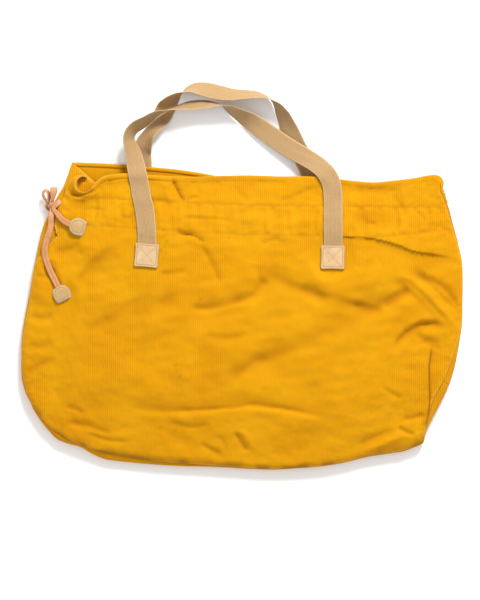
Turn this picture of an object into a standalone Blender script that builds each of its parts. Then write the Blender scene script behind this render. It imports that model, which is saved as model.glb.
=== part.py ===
"""Canvas mail sack, laid flat on its back with the mouth towards +Y.

The origin is the middle of the surface that the sack lies on: +X runs across the sack,
+Y from the base to the mouth, and +Z away from that surface. The front panel faces up.
Lengths in the tables are millimetres, turned to metres by MM.
"""
import math

import bmesh
import bpy
import numpy as np
from mathutils import Vector

MM = 0.001

# Driving sizes
CLOTH = 1.5 * MM             # a panel of canvas with its turned edges
CLEAR = 0.3 * MM             # between pieces that touch
SEAM_INSET = 12 * MM         # panels stop this far inside the widest outline
GUSSET_DEPTH = 14 * MM       # how far each half of the folded gusset reaches in
GUSSET_WALL = 1.2 * MM
FRONT_EDGE_Z = 22.0 * MM     # top of the front panel along its seams and mouth
FRONT_FLAT_Z = 30.0 * MM     # top of the front panel over the full middle
FRONT_SHOULDER = 110 * MM    # width of the slope between the two
MOUTH_RAMP = (60 * MM, 155 * MM)
BASE_Y = -306 * MM
WEB_WIDTH = 30 * MM
WEB_THICK = 1.6 * MM
LACE_WIDTH = 9.5 * MM
LACE_THICK = 2.2 * MM
LEATHER = 1.4 * MM
PATCH = 38 * MM
BACKING = 46 * MM
HINGE_Y = 58 * MM            # the line that both handles fold on
SEWN_GAP = 3.2 * MM          # from the hinge line to the sewn webbing
PATCH_GAP = 6.0 * MM         # from the sewn webbing's end to the patch that covers it
CASING_GAP = 4.0 * MM        # room for the drawcord between panel and band
BAND = 1.0 * MM
CORD_Y = 92 * MM
FRONT_EYELET_Y = 115 * MM
BACK_EYELET_Y = 101 * MM
EYELET_REACH = 7.8 * MM      # from the sack's outline to the middle of an eyelet

# Widest outline of the sack, from the mouth's left end round the base to its right end
OUTLINE = np.array([
    (-268, 178), (-277, 151), (-289, 130), (-301, 102), (-314, 77), (-325, 28),
    (-334, -22), (-343, -69), (-349, -125), (-346, -164), (-335, -196), (-319, -227),
    (-291, -255), (-252, -276), (-210, -290), (-150, -297), (-50, -302), (48, -306),
    (124, -301), (200, -286), (262, -272), (288, -256), (301, -228), (327, -174),
    (341, -125), (349, -68), (349, -20), (346, 20), (341, 42), (332, 72),
    (323, 104), (317, 128), (319, 150),
]) * MM
LEFT_CORNER = (-335, -196)
RIGHT_CORNER = (327, -174)

# Handle routes: x, y, z of the webbing's centre, and its roll in degrees about the way
# it runs, from the left patch to the right one. A positive roll lifts the left edge.
FRONT_HANDLE = [
    (-149, 58, 31.1, 0), (-149, 70, 31.4, 0), (-152, 100, 28.8, 0), (-157, 124, 26.0, 0),
    (-160, 140, 24.6, 0), (-163, 156, 23.8, 2), (-167, 176, 19.0, 16), (-172, 198, 16.4, 36),
    (-178, 214, 18.0, 53), (-176, 225, 18.5, 56), (-170, 233, 18.6, 56), (-161, 239, 19.0, 57),
    (-151, 245, 20.0, 63), (-136, 255, 21.3, 76), (-122, 260, 21.6, 90), (-101, 265, 20.6, 106),
    (-82, 269, 17.0, 115), (-65, 271, 15.2, 114), (-46, 271, 15.8, 104), (-31, 269, 16.2, 90),
    (-18, 263, 15.0, 68), (-2, 254, 13.2, 50), (12, 246, 10.0, 30), (30, 234, 8.0, 8),
    (61, 212, 9.0, 0), (85, 197, 11.0, -4), (102, 187, 14.0, -10), (116, 178, 18.0, -16),
    (126, 170, 21.4, -16), (134, 161, 23.8, -10), (140, 150, 24.8, -4), (143, 138, 25.4, 0),
    (144, 120, 26.8, 0), (144, 98, 29.4, 0), (144, 75, 31.4, 0), (144, 58, 31.1, 0),
]
BACK_HANDLE = [
    (-157, 58, 3.1, 0), (-157, 68, 2.2, 0), (-157, 82, 1.0, 0), (-157, 130, 1.0, 0),
    (-157, 176, 1.0, 0), (-158, 195, 1.0, 0), (-156, 209, 1.0, 0), (-149, 226, 1.0, 0),
    (-138, 240, 1.0, 0), (-127, 254, 1.2, 0), (-120, 265, 2.4, 6), (-112, 278, 12.0, 50),
    (-106, 283, 14.4, 68), (-98, 289, 16.0, 92), (-83, 295, 14.2, 118), (-65, 296, 10.8, 140),
    (-48, 293, 9.4, 147), (-35, 290, 9.6, 146), (-16, 287, 12.0, 134), (-2, 287, 13.2, 126),
    (12, 287, 13.9, 121), (25, 286, 14.6, 115), (37, 283, 15.8, 104), (48, 277, 16.0, 90),
    (58, 267, 14.9, 67), (65, 255, 12.3, 49), (70, 245, 10.8, 40), (77, 229, 7.4, 24),
    (86, 208, 3.4, 9), (93, 195, 1.6, 2), (100, 182, 1.0, 0), (110, 158, 1.0, 0),
    (118, 120, 1.0, 0), (123, 82, 1.0, 0), (124, 68, 2.2, 0), (124, 58, 3.1, 0),
]
STRAP_STATIONS = 72

# Drawcord outside the sack: x, y, z of the lace's centre and its width there
LONG_TAIL = [
    (-299, 104.8, 20.2, 6.0), (-300, 93, 23.4, 8.5), (-301, 76, 24.0, 9.5),
    (-307, 56, 23.8, 9.5), (-310, 41, 23.9, 9.5), (-308, 27, 24.6, 9.5),
    (-302, 10, 26.2, 9.5), (-293, -8, 28.4, 9.5), (-288.5, -17, 28.9, 9.5),
    (-284, -26, 28.9, 9.5),
]
SHORT_TAIL = [
    (-292.4, 105.2, 22.6, 5.0), (-289.5, 98.5, 25.4, 7.5), (-283, 89.5, 27.2, 9.0),
    (-275, 84, 28.7, 9.5), (-269.5, 81.4, 29.2, 9.5), (-260, 78, 29.2, 9.5),
]
FRONT_LEAD = [
    (-289.8, 115.0, 19.3, 4.5), (-291.6, 114.4, 20.9, 6.5), (-294.4, 113.2, 20.4, 8.0),
]
BACK_LEAD = [
    (-293.8, 101.0, 5.6, 4.5), (-297.5, 102.5, 3.2, 7.0), (-303, 106, 3.2, 8.5),
    (-306.8, 110, 6.6, 9.0), (-304.6, 112.5, 12.2, 8.0),
]
KNOT_CENTRE = (-299.6, 112, 19.0)
KNOT_RADII = (4.6, 6.4, 4.2)
SIDE_LOOP = [                     # x, y round the loop that stands on edge
    (-305.6, 121.5), (-305.4, 129), (-308.5, 135), (-313, 132.5), (-313.4, 126), (-309.5, 120.4),
]
SIDE_LOOP_Z = 15.0
TOP_LOOP = [                      # y, z round the loop that lies over
    (120.6, 22.1), (131, 22.9), (138.6, 20.9), (138.2, 16.9), (130, 15.6), (121.4, 17.5),
]
TOP_LOOP_X = -297.2
LEAF = 1.2 * MM
LONG_TAB = ((-283.5, -28, 26.3), -63)      # middle of the lower leaf's underside, heading in degrees
SHORT_TAB = ((-258, 77.5, 26.6), -20)


def material(name, colour, roughness, metallic=0.0):
    """A Principled material with one base colour."""
    made = bpy.data.materials.new(name)
    made.use_nodes = True
    shader = made.node_tree.nodes["Principled BSDF"]
    shader.inputs["Base Color"].default_value = (*colour, 1.0)
    shader.inputs["Roughness"].default_value = roughness
    shader.inputs["Metallic"].default_value = metallic
    made.diffuse_color = (*colour, 1.0)
    return made


def smooth_curve(points, count, closed=False):
    """Rows spaced evenly along a Catmull-Rom curve through the given rows."""
    rows = np.asarray(points, dtype=float)
    if closed:
        padded = np.vstack([rows[-1], rows, rows[0], rows[1]])
    else:
        padded = np.vstack([2 * rows[0] - rows[1], rows, 2 * rows[-1] - rows[-2]])
    fine = []
    for a, b, c, d in zip(padded, padded[1:], padded[2:], padded[3:]):
        for t in np.arange(24) / 24:
            fine.append(0.5 * (2 * b + (c - a) * t + (2 * a - 5 * b + 4 * c - d) * t ** 2
                               + (3 * b - a - 3 * c + d) * t ** 3))
    fine.append(padded[-2])
    fine = np.array(fine)
    runs = np.linalg.norm(np.diff(fine[:, :3], axis=0), axis=1)
    along = np.concatenate([[0.0], np.cumsum(runs)])
    wanted = np.linspace(0.0, along[-1], count, endpoint=not closed)
    return np.column_stack([np.interp(wanted, along, column) for column in fine.T])


def add_object(name, verts, faces, finish, pivot=(0.0, 0.0, 0.0), smooth=False):
    """A closed mesh object whose origin is the pivot."""
    mesh = bpy.data.meshes.new(name)
    shifted = np.asarray(verts, dtype=float) - np.asarray(pivot)
    mesh.from_pydata([tuple(point) for point in shifted], [], faces)
    work = bmesh.new()
    work.from_mesh(mesh)
    bmesh.ops.recalc_face_normals(work, faces=work.faces)
    work.to_mesh(mesh)
    work.free()
    mesh.materials.append(finish)
    if smooth:
        mesh.shade_smooth()
    made = bpy.data.objects.new(name, mesh)
    made.location = pivot
    bpy.context.scene.collection.objects.link(made)
    return made


def band_faces(stations, ring, closed=False):
    """Faces that join rings into a solid. Each ring is an outer row and then an inner row back."""
    faces = []
    for i in range(stations if closed else stations - 1):
        k = (i + 1) % stations
        for j in range(ring):
            n = (j + 1) % ring
            faces.append((i * ring + j, i * ring + n, k * ring + n, k * ring + j))
    if not closed:
        for start in (0, (stations - 1) * ring):
            for j in range(ring // 2 - 1):
                faces.append((start + j, start + j + 1, start + ring - 2 - j, start + ring - 1 - j))
    return faces


def loft(name, rings, finish, closed=False, **options):
    """A solid through equal rings of points."""
    rings = np.asarray(rings)
    faces = band_faces(len(rings), rings.shape[1], closed)
    return add_object(name, rings.reshape(-1, 3), faces, finish, **options)


def cut(target, cutter):
    """Takes the cutter's shape out of the target with an exact Boolean."""
    cutter.hide_render = True
    cutter.display_type = "WIRE"
    change = target.modifiers.new("cut_" + cutter.name, "BOOLEAN")
    change.operation = "DIFFERENCE"
    change.solver = "EXACT"
    change.object = cutter


def ease(t):
    """0 below 0, 1 above 1, and a smooth step between."""
    t = np.clip(t, 0.0, 1.0)
    return t * t * (3.0 - 2.0 * t)


# ---- the sack's heights ----

def back_underside(y):
    """Height of the back panel's outer face: lifted where the webbing and patches lie under it."""
    return np.interp(y, np.array([-15, 8, 62, 84]) * MM, np.array([0.0, 4.2, 4.2, 2.4]) * MM)


def inset_outline(inset):
    """The outline moved inwards, split at the base into its left and right sides."""
    path = smooth_curve(OUTLINE, 160)
    way = np.gradient(path, axis=0)
    way /= np.linalg.norm(way, axis=1)[:, None]
    moved = path + inset * np.column_stack([-way[:, 1], way[:, 0]])
    lowest = int(np.argmin(moved[:, 1]))
    return moved[:lowest + 1][::-1], moved[lowest:]


def span(y, inset):
    """The x of the left and right sides at height y on the sack."""
    left, right = inset_outline(inset)
    return np.interp(y, left[:, 1], left[:, 0]), np.interp(y, right[:, 1], right[:, 0])


def front_top(x, y, left, right):
    """Height of the front panel's outer face: full in the middle, low at seams and mouth."""
    side = np.minimum(x - left, right - x)
    full = ease(side / FRONT_SHOULDER) * ease((y - BASE_Y) / FRONT_SHOULDER)
    mouth = 1.0 - ease((y - MOUTH_RAMP[0]) / (MOUTH_RAMP[1] - MOUTH_RAMP[0]))
    return FRONT_EDGE_Z + (FRONT_FLAT_Z - FRONT_EDGE_Z) * full * mouth


def across(left, right):
    """x samples of one slice: close together over the two shoulders."""
    shoulder = np.array([0, 0.03, 0.06, 0.09, 0.12, 0.15, 0.18, 0.25])
    share = np.concatenate([shoulder, [0.5], 1.0 - shoulder[::-1]])
    return left + (right - left) * share


def sheet(name, rows, height, thick, finish):
    """A sheet through slices (y, left, right): height(x, y) is its upper face."""
    rings = []
    for y, left, right in rows:
        x = across(left, right)
        upper = height(x, y)
        lower = upper - thick
        outer = np.column_stack([x, np.full_like(x, y), upper])
        inner = np.column_stack([x, np.full_like(x, y), lower])[::-1]
        rings.append(np.vstack([outer, inner]))
    return loft(name, rings, finish)


# ---- canvas ----

def build_panels(canvas):
    """Back panel and front panel, each a sheet between the side seams."""
    low = inset_outline(SEAM_INSET)[0][0, 1]
    rise = np.array([0.4, 2, 5, 10, 18, 30, 48, 75, 110, 150, 200, 240]) * MM
    back_y = np.concatenate([low + rise, np.array([-15, 8, 62, 84, 110, 135, 150]) * MM])
    back_rows = [(y, *span(y, SEAM_INSET)) for y in back_y]
    back_rows += [(y * MM, span(y * MM, SEAM_INSET)[0], right * MM)
                  for y, right in ((156, -38), (168, -104), (177, -246))]
    sheet("back_panel", back_rows, lambda x, y: back_underside(y) + CLOTH + 0 * x, CLOTH, canvas)

    front_y = np.concatenate([low + rise, np.array([-20, 20, 60, 70, 76, 92, 108, 114, 130]) * MM])
    front_rows = [(y, *span(y, SEAM_INSET)) for y in front_y]
    front_rows += [(y * MM, left * MM, span(y * MM, SEAM_INSET)[1]) for y, left in ((145, -258), (155, -240))]

    def height(x, y):
        return front_top(x, y, x[0], x[-1])
    sheet("front_panel", front_rows, height, CLOTH, canvas)


def gusset_height_low(y):
    """The gusset stands on the back panel, clear of the part that the webbing lifts."""
    return np.interp(y, np.array([-60, -32]) * MM, np.array([1.8, 6.0]) * MM)


def gusset_rings(path):
    """V-shaped rings, folded outwards, along a stretch of the outline."""
    way = np.gradient(path, axis=0)
    way /= np.linalg.norm(way, axis=1)[:, None]
    inward = np.column_stack([-way[:, 1], way[:, 0]])
    top = FRONT_EDGE_Z - CLOTH - CLEAR
    apex_in = 2.2 * GUSSET_WALL
    rings = []
    for point, side in zip(path, inward):
        low = gusset_height_low(point[1])
        middle = 0.5 * (low + top)
        profile = [(GUSSET_DEPTH, low), (0.0, middle), (GUSSET_DEPTH, top),
                   (GUSSET_DEPTH, top - 1.15 * GUSSET_WALL), (apex_in, middle),
                   (GUSSET_DEPTH, low + 1.15 * GUSSET_WALL)]
        rings.append([(*(point + depth * side), z) for depth, z in profile])
    return np.array(rings)


def build_gussets(canvas, cutters):
    """Left, base and right gusset strips, with the two eyelet holes in the left one."""
    path = smooth_curve(OUTLINE, 100)
    corners = [int(np.argmin(np.linalg.norm(path - np.array(corner) * MM, axis=1)))
               for corner in (LEFT_CORNER, RIGHT_CORNER)]
    rings = gusset_rings(path)
    base = rings[corners[0]:corners[1] + 1].copy()
    base[[0, -1]] += 0.06 * (base[[1, -2]] - base[[0, -1]])
    left_gusset = loft("left_gusset", rings[:corners[0] + 1], canvas)
    loft("base_gusset", base, canvas)
    loft("right_gusset", rings[corners[1]:], canvas)
    for cutter in cutters:
        cut(left_gusset, cutter)


def band_profile(y, edges):
    """Distance from panel to band: snug at both stitch lines, open between them."""
    snug = 2 * CLEAR
    return np.interp(y, np.array(edges) * MM, np.array([snug, snug, CASING_GAP, CASING_GAP, snug, snug]))


def build_casing(canvas):
    """Inner bands that hold the drawcord against the front and the back panel."""
    ends = 30 * MM
    edges = (66, 70, 76, 108, 114, 150)
    rows = []
    for y in (66, 70, 76, 92, 108, 114, 130, 150):
        left, right = span(y * MM, SEAM_INSET)
        rows.append((y * MM, left + ends + max(0, y - 130) * MM, right - ends))

    def under_front(x, y):
        left, right = span(y, SEAM_INSET)
        return front_top(x, y, left, right) - CLOTH - band_profile(y, edges)
    sheet("front_casing_band", rows, under_front, BAND, canvas)

    def over_back(x, y):
        return back_underside(y) + CLOTH + band_profile(y, edges) + BAND + 0 * x
    back_rows = [(66 * MM, *rows[0][1:]), (70 * MM, *rows[1][1:]), (76 * MM, *rows[2][1:]),
                 (84 * MM, *rows[3][1:]), *rows[3:]]
    sheet("back_casing_band", back_rows, over_back, BAND, canvas)


# ---- webbing and patches ----

def ribbon_rings(route, width, thick, count):
    """Rectangles along a route of x, y, z, roll. The roll lifts the edge left of the way it runs."""
    rows = smooth_curve(route, count)
    place = rows[:, :3] * MM
    roll = np.radians(rows[:, 3])[:, None]
    way = np.gradient(place, axis=0)
    way /= np.linalg.norm(way, axis=1)[:, None]
    left = np.cross((0.0, 0.0, 1.0), way)
    left /= np.linalg.norm(left, axis=1)[:, None]
    up = np.cross(way, left)
    edge = (np.cos(roll) * left + np.sin(roll) * up) * width / 2
    face = (np.cos(roll) * up - np.sin(roll) * left) * thick / 2
    return np.stack([place + edge + face, place - edge + face, place - edge - face, place + edge - face], axis=1)


def build_handles(webbing):
    """The two webbing handles, each with its origin on the line that it folds on."""
    for name, route in (("front_handle", FRONT_HANDLE), ("back_handle", BACK_HANDLE)):
        rings = ribbon_rings(route, WEB_WIDTH, WEB_THICK, STRAP_STATIONS)
        rings[[0, -1], :, 1] = HINGE_Y
        loft(name, rings, webbing, pivot=(0.0, HINGE_Y, route[0][2] * MM))


def plate(name, centre, size, thick, finish, turn=0.0, corner=3.0 * MM):
    """A flat square with cut corners: centre is the middle of its lower face."""
    half = np.array(size) / 2
    corners = [(half[0], half[1] - corner), (half[0] - corner, half[1]),
               (corner - half[0], half[1]), (-half[0], half[1] - corner),
               (-half[0], corner - half[1]), (corner - half[0], -half[1]),
               (half[0] - corner, -half[1]), (half[0], corner - half[1])]
    return prism(name, centre, corners, thick, finish, turn)


def prism(name, centre, outline, thick, finish, turn=0.0, **options):
    """A flat plate with any outline, turned about Z by turn degrees."""
    angle = math.radians(turn)
    spin = np.array([[math.cos(angle), math.sin(angle)], [-math.sin(angle), math.cos(angle)]])
    flat = np.array(outline) @ spin + np.array(centre[:2])
    count = len(flat)
    lower = np.column_stack([flat, np.full(count, centre[2])])
    upper = lower + (0.0, 0.0, thick)
    faces = [tuple(range(count)), tuple(range(count, 2 * count))]
    faces += [(i, (i + 1) % count, count + (i + 1) % count, count + i) for i in range(count)]
    return add_object(name, np.vstack([lower, upper]), faces, finish, **options)


def stitch_box(name, centre, size, thick, finish):
    """The box and cross of thread on a patch: a square plate with four triangular windows."""
    width = 1.0 * MM
    half = size / 2
    inner = half - width
    near = inner - 1.4 * width
    corners = [(half, half), (-half, half), (-half, -half), (half, -half)]
    windows = [[(near, inner), (-near, inner), (0.0, width)], [(-inner, near), (-inner, -near), (-width, 0.0)],
               [(-near, -inner), (near, -inner), (0.0, -width)], [(inner, -near), (inner, near), (width, 0.0)]]
    flat = np.array(corners + [point for window in windows for point in window]) + np.array(centre[:2])
    count = len(flat)
    top = []
    sides = [(k, (k + 1) % 4) for k in range(4)]
    for k in range(4):
        first, second, tip = (4 + 3 * k + step for step in range(3))
        following = 4 + 3 * ((k + 1) % 4)
        top.append((k, (k + 1) % 4, second, first))
        top.append(((k + 1) % 4, following, second))
        top.append((second, following, following + 2, tip))
        sides += [(first, second), (second, tip), (tip, first)]
    top.append((6, 9, 12, 15))
    faces = top + [tuple(count + corner for corner in face) for face in top]
    faces += [(a, b, count + b, count + a) for a, b in sides]
    lower = np.column_stack([flat, np.full(count, centre[2])])
    add_object(name, np.vstack([lower, lower + (0.0, 0.0, thick)]), faces, finish)


def build_sewn_ends(canvas, webbing, leather, thread):
    """Under each patch: the handle's sewn end, with a canvas square behind the panel."""
    top = HINGE_Y - SEWN_GAP
    patch_y = top - PATCH_GAP - PATCH / 2
    end_length = PATCH_GAP + PATCH - 6 * MM
    spots = {"front_left": (FRONT_HANDLE[0], 1), "front_right": (FRONT_HANDLE[-1], 1),
             "back_left": (BACK_HANDLE[0], -1), "back_right": (BACK_HANDLE[-1], -1)}
    for name, (start, out) in spots.items():
        x = start[0] * MM
        web_low = start[2] * MM - WEB_THICK / 2
        if out > 0:
            patch_low = web_low + WEB_THICK + CLEAR
            thread_low = patch_low + LEATHER + CLEAR
            backing_low = FRONT_FLAT_Z - CLOTH - CLEAR - BAND
        else:
            patch_low = web_low - CLEAR - LEATHER
            thread_low = 0.0
            backing_low = back_underside(patch_y) + CLOTH + CLEAR
        plate(name + "_webbing_end", (x, top - end_length / 2, web_low), (WEB_WIDTH, end_length),
              WEB_THICK, webbing, corner=1 * MM)
        plate(name + "_patch", (x, patch_y, patch_low), (PATCH, PATCH), LEATHER, leather)
        plate(name + "_backing", (x, patch_y, backing_low), (BACKING, BACKING), BAND, canvas)
        stitch_box(name + "_stitching", (x, patch_y, thread_low), PATCH - 9 * MM, CLEAR, thread)


# ---- drawcord ----

def lace_rings(route, count, hint=None):
    """Rectangles along a route of x, y, z, width. The lace's width lies along the hint, or level."""
    rows = smooth_curve(route, count)
    place = rows[:, :3] * MM
    way = np.gradient(place, axis=0)
    way /= np.linalg.norm(way, axis=1)[:, None]
    if hint is None:
        edge = np.cross((0.0, 0.0, 1.0), way)
    else:
        edge = np.array(hint) - (way @ np.array(hint))[:, None] * way
    edge /= np.linalg.norm(edge, axis=1)[:, None]
    face = np.cross(way, edge) * LACE_THICK / 2
    edge = edge * rows[:, 3:4] * MM / 2
    return np.stack([place + edge + face, place - edge + face, place - edge - face, place + edge - face], axis=1)


def turned_ring(name, centre, normal, profile, finish, sides=20):
    """A solid of revolution: profile is (radius, distance along the normal), closed on itself."""
    normal = np.array(normal) / np.linalg.norm(normal)
    first = np.cross(normal, (0.0, 1.0, 0.0))
    first /= np.linalg.norm(first)
    second = np.cross(normal, first)
    rings = []
    for step in range(sides):
        angle = 2 * math.pi * step / sides
        out = math.cos(angle) * first + math.sin(angle) * second
        rings.append([np.array(centre) + radius * out + depth * normal for radius, depth in profile])
    return loft(name, rings, finish, closed=True, smooth=False)


def eyelet_place(half, y):
    """Centre and outward normal of the eyelet in the upper (+1) or lower (-1) gusset half."""
    path = smooth_curve(OUTLINE, 400)
    near = int(np.argmin(np.abs(path[:200, 1] - y)))
    way = path[near + 1] - path[near - 1]
    inward = np.array([-way[1], way[0], 0.0]) / np.linalg.norm(way)
    rise = (FRONT_EDGE_Z - CLOTH - CLEAR - gusset_height_low(y)) / 2
    slope = math.atan2(rise, GUSSET_DEPTH)
    normal = -math.sin(slope) * inward + np.array([0.0, 0.0, half * math.cos(slope)])
    height = gusset_height_low(y) + rise + half * EYELET_REACH * math.tan(slope)
    face = np.array([*path[near], height]) + EYELET_REACH * inward
    return face - normal * GUSSET_WALL / 2, normal


def build_eyelets(metal):
    """Two spool-shaped metal eyelets, and the cutters for their holes."""
    wall = GUSSET_WALL / 2 + 1.2 * CLEAR
    rim = wall + 0.5 * MM
    shape = [(4.8 * MM, wall), (4.8 * MM, rim), (2.6 * MM, rim), (2.6 * MM, -rim),
             (4.0 * MM, -rim), (4.0 * MM, -wall), (3.2 * MM, -wall), (3.2 * MM, wall)]
    cutters = []
    for name, half, y in (("front_eyelet", 1, FRONT_EYELET_Y), ("back_eyelet", -1, BACK_EYELET_Y)):
        centre, normal = eyelet_place(half, y)
        turned_ring(name, centre, normal, shape, metal)
        bpy.ops.mesh.primitive_cylinder_add(vertices=20, radius=3.6 * MM, depth=6 * MM, location=centre)
        cutter = bpy.context.object
        cutter.name = name + "_hole"
        cutter.rotation_mode = "QUATERNION"
        cutter.rotation_quaternion = Vector(normal).to_track_quat("Z", "Y")
        cutters.append(cutter)
    return cutters


def build_drawcord_run(leather):
    """The lace inside the casing: along the front, round the right end, and back along the back."""
    left, right = span(CORD_Y, SEAM_INSET)
    depth = 2.2 * MM              # from the panel's inner face to the lace's middle

    def front_z(x):
        return float(front_top(x, CORD_Y, left, right)) - CLOTH - depth
    back_z = float(back_underside(CORD_Y)) + CLOTH + depth
    turn = right - 12 * MM
    first = left + 14 * MM
    front = [(x, CORD_Y, front_z(x)) for x in np.linspace(first, turn, 26)]
    bend = [(turn + 8 * MM, CORD_Y, 0.5 * (front[-1][2] + back_z))]
    back = [(x, CORD_Y, back_z) for x in np.linspace(turn, first, 12)]
    start, start_normal = eyelet_place(1, FRONT_EYELET_Y)
    finish, finish_normal = eyelet_place(-1, BACK_EYELET_Y)
    inside = 4.5 * MM             # the lace stops this far behind each eyelet
    narrow, wide = 5.0, LACE_WIDTH / MM
    route = [(*((start - start_normal * inside) / MM), narrow)]
    route += [(*(np.array(point) / MM), wide) for point in front + bend + back]
    route += [(*((finish - finish_normal * inside + (6 * MM, 0, 0)) / MM), narrow)]
    loft("drawcord_run", lace_rings(route, 110, hint=(0.0, 1.0, 0.0)), leather)


def loop_rings(path, edge):
    """Lace round a closed path, its width along the given edge."""
    way = np.roll(path, -1, axis=0) - np.roll(path, 1, axis=0)
    way /= np.linalg.norm(way, axis=1)[:, None]
    edge = np.broadcast_to(edge, way.shape)
    face = np.cross(way, edge) * LACE_THICK / 2
    side = edge * LACE_WIDTH / 2
    return np.stack([path + side + face, path - side + face, path - side - face, path + side - face], axis=1)


def build_bow(leather):
    """Knot, the two loops and the two short leads from the eyelets."""
    bpy.ops.mesh.primitive_ico_sphere_add(subdivisions=2, radius=1.0)
    ball = bpy.context.object
    points = np.array([vertex.co for vertex in ball.data.vertices])
    faces = [tuple(face.vertices) for face in ball.data.polygons]
    bpy.data.objects.remove(ball)
    add_object("bow_knot", (points * KNOT_RADII + KNOT_CENTRE) * MM, faces, leather, smooth=True)
    side = np.array([(x, y, SIDE_LOOP_Z) for x, y in smooth_curve(SIDE_LOOP, 30, closed=True)]) * MM
    loft("side_bow_loop", loop_rings(side, (0.0, 0.0, 1.0)), leather, closed=True)
    over = np.array([(TOP_LOOP_X, y, z) for y, z in smooth_curve(TOP_LOOP, 30, closed=True)]) * MM
    loft("top_bow_loop", loop_rings(over, (1.0, 0.0, 0.0)), leather, closed=True)
    loft("front_lead", lace_rings(FRONT_LEAD, 8, hint=(0.0, 1.0, 0.0)), leather)
    loft("back_lead", lace_rings(BACK_LEAD, 16, hint=(0.0, 1.0, 0.0)), leather)


def tab_outline(radius):
    """A D: round towards the lace, then sides that close in to a straight end."""
    turns = np.radians(np.linspace(90, 270, 11))
    curve = [(radius * math.cos(turn), radius * math.sin(turn)) for turn in turns]
    return curve + [(0.85 * radius, -0.78 * radius), (0.85 * radius, 0.78 * radius)]


def build_tail(name, route, tab, leather, pale):
    """One end of the drawcord with the two leather leaves of its tab, turning at the knot."""
    pivot = tuple(value * MM for value in route[0][:3])
    loft(name + "_lace", lace_rings(route, 26), leather, pivot=pivot)
    (x, y, z), heading = tab
    upper = z * MM + LEAF + CLEAR + LACE_THICK + 1.2 * CLEAR
    for leaf, low, radius in (("_tab_back", z * MM, 13.8 * MM), ("_tab_front", upper, 11.9 * MM)):
        prism(name + leaf, (x * MM, y * MM, low), tab_outline(radius), LEAF, pale, heading, pivot=pivot)


def main():
    """Clears the scene and builds every piece of the sack."""
    for old in list(bpy.data.objects):
        bpy.data.objects.remove(old, do_unlink=True)
    canvas = material("yellow_canvas", (0.80, 0.35, 0.01), 0.85)
    webbing = material("beige_webbing", (0.62, 0.41, 0.20), 0.8)
    patch_leather = material("cream_leather", (0.80, 0.58, 0.34), 0.6)
    lace_leather = material("natural_leather", (0.78, 0.37, 0.17), 0.55)
    tab_leather = material("pale_leather", (0.63, 0.42, 0.18), 0.6)
    thread = material("cream_thread", (0.75, 0.60, 0.38), 0.7)
    metal = material("nickel_eyelet", (0.55, 0.55, 0.53), 0.35, 1.0)
    build_panels(canvas)
    build_gussets(canvas, build_eyelets(metal))
    build_casing(canvas)
    build_handles(webbing)
    build_sewn_ends(canvas, webbing, patch_leather, thread)
    build_drawcord_run(lace_leather)
    build_bow(lace_leather)
    build_tail("long_tail", LONG_TAIL, LONG_TAB, lace_leather, tab_leather)
    build_tail("short_tail", SHORT_TAIL, SHORT_TAB, lace_leather, tab_leather)


main()
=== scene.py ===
"""Looks of the canvas mail sack: its cloth, webbing, leather, thread and metal.

The sack lies on its back with the mouth towards +Y. Tables are in millimetres, turned to
metres by MM. Each soft piece stands for a CAD solid and stays in the space of that solid.
"""
import math

import bpy
import numpy as np
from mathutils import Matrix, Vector
from mathutils.bvhtree import BVHTree


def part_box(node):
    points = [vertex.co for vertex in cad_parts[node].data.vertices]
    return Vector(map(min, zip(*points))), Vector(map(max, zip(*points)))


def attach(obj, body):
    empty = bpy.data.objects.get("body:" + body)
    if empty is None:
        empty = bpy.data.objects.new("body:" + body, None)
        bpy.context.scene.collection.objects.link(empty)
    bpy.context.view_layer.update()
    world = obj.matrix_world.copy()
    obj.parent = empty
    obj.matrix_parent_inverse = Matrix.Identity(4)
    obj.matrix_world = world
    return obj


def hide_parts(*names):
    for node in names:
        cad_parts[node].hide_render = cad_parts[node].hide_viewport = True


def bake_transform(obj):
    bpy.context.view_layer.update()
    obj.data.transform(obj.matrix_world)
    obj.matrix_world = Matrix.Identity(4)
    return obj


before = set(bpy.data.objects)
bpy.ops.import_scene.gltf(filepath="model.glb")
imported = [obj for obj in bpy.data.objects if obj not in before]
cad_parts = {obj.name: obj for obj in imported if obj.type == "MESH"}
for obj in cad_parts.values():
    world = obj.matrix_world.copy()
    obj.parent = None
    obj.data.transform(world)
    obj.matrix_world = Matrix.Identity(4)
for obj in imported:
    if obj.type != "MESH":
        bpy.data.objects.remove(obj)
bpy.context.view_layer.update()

MM = 0.001
FULL_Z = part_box("front_panel")[1][2] / MM           # top of the full middle of the sack
EDGE_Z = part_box("front_panel")[0][2] / MM + 1.5     # top of the cloth along seams and mouth
HINGE_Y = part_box("front_handle")[0][1] / MM         # the line that both handles fold on


# ---- helpers ----

def colour(code):
    """Linear RGBA of an sRGB hex value: each channel c is ((c + 0.055) / 1.055) to the power 2.4."""
    channels = np.array([int(code[i:i + 2], 16) / 255 for i in (1, 3, 5)])
    linear = np.where(channels < 0.04045, channels / 12.92, ((channels + 0.055) / 1.055) ** 2.4)
    return (*linear.tolist(), 1.0)


def ease(t):
    """0 below 0, 1 above 1, and 3t^2 - 2t^3 between."""
    t = np.clip(t, 0.0, 1.0)
    return t * t * (3.0 - 2.0 * t)


def bell(gap, width):
    """exp(-(gap / width)^2): 1 where the gap is nothing, and small past twice the width."""
    return np.exp(-(gap / width) ** 2)


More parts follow.
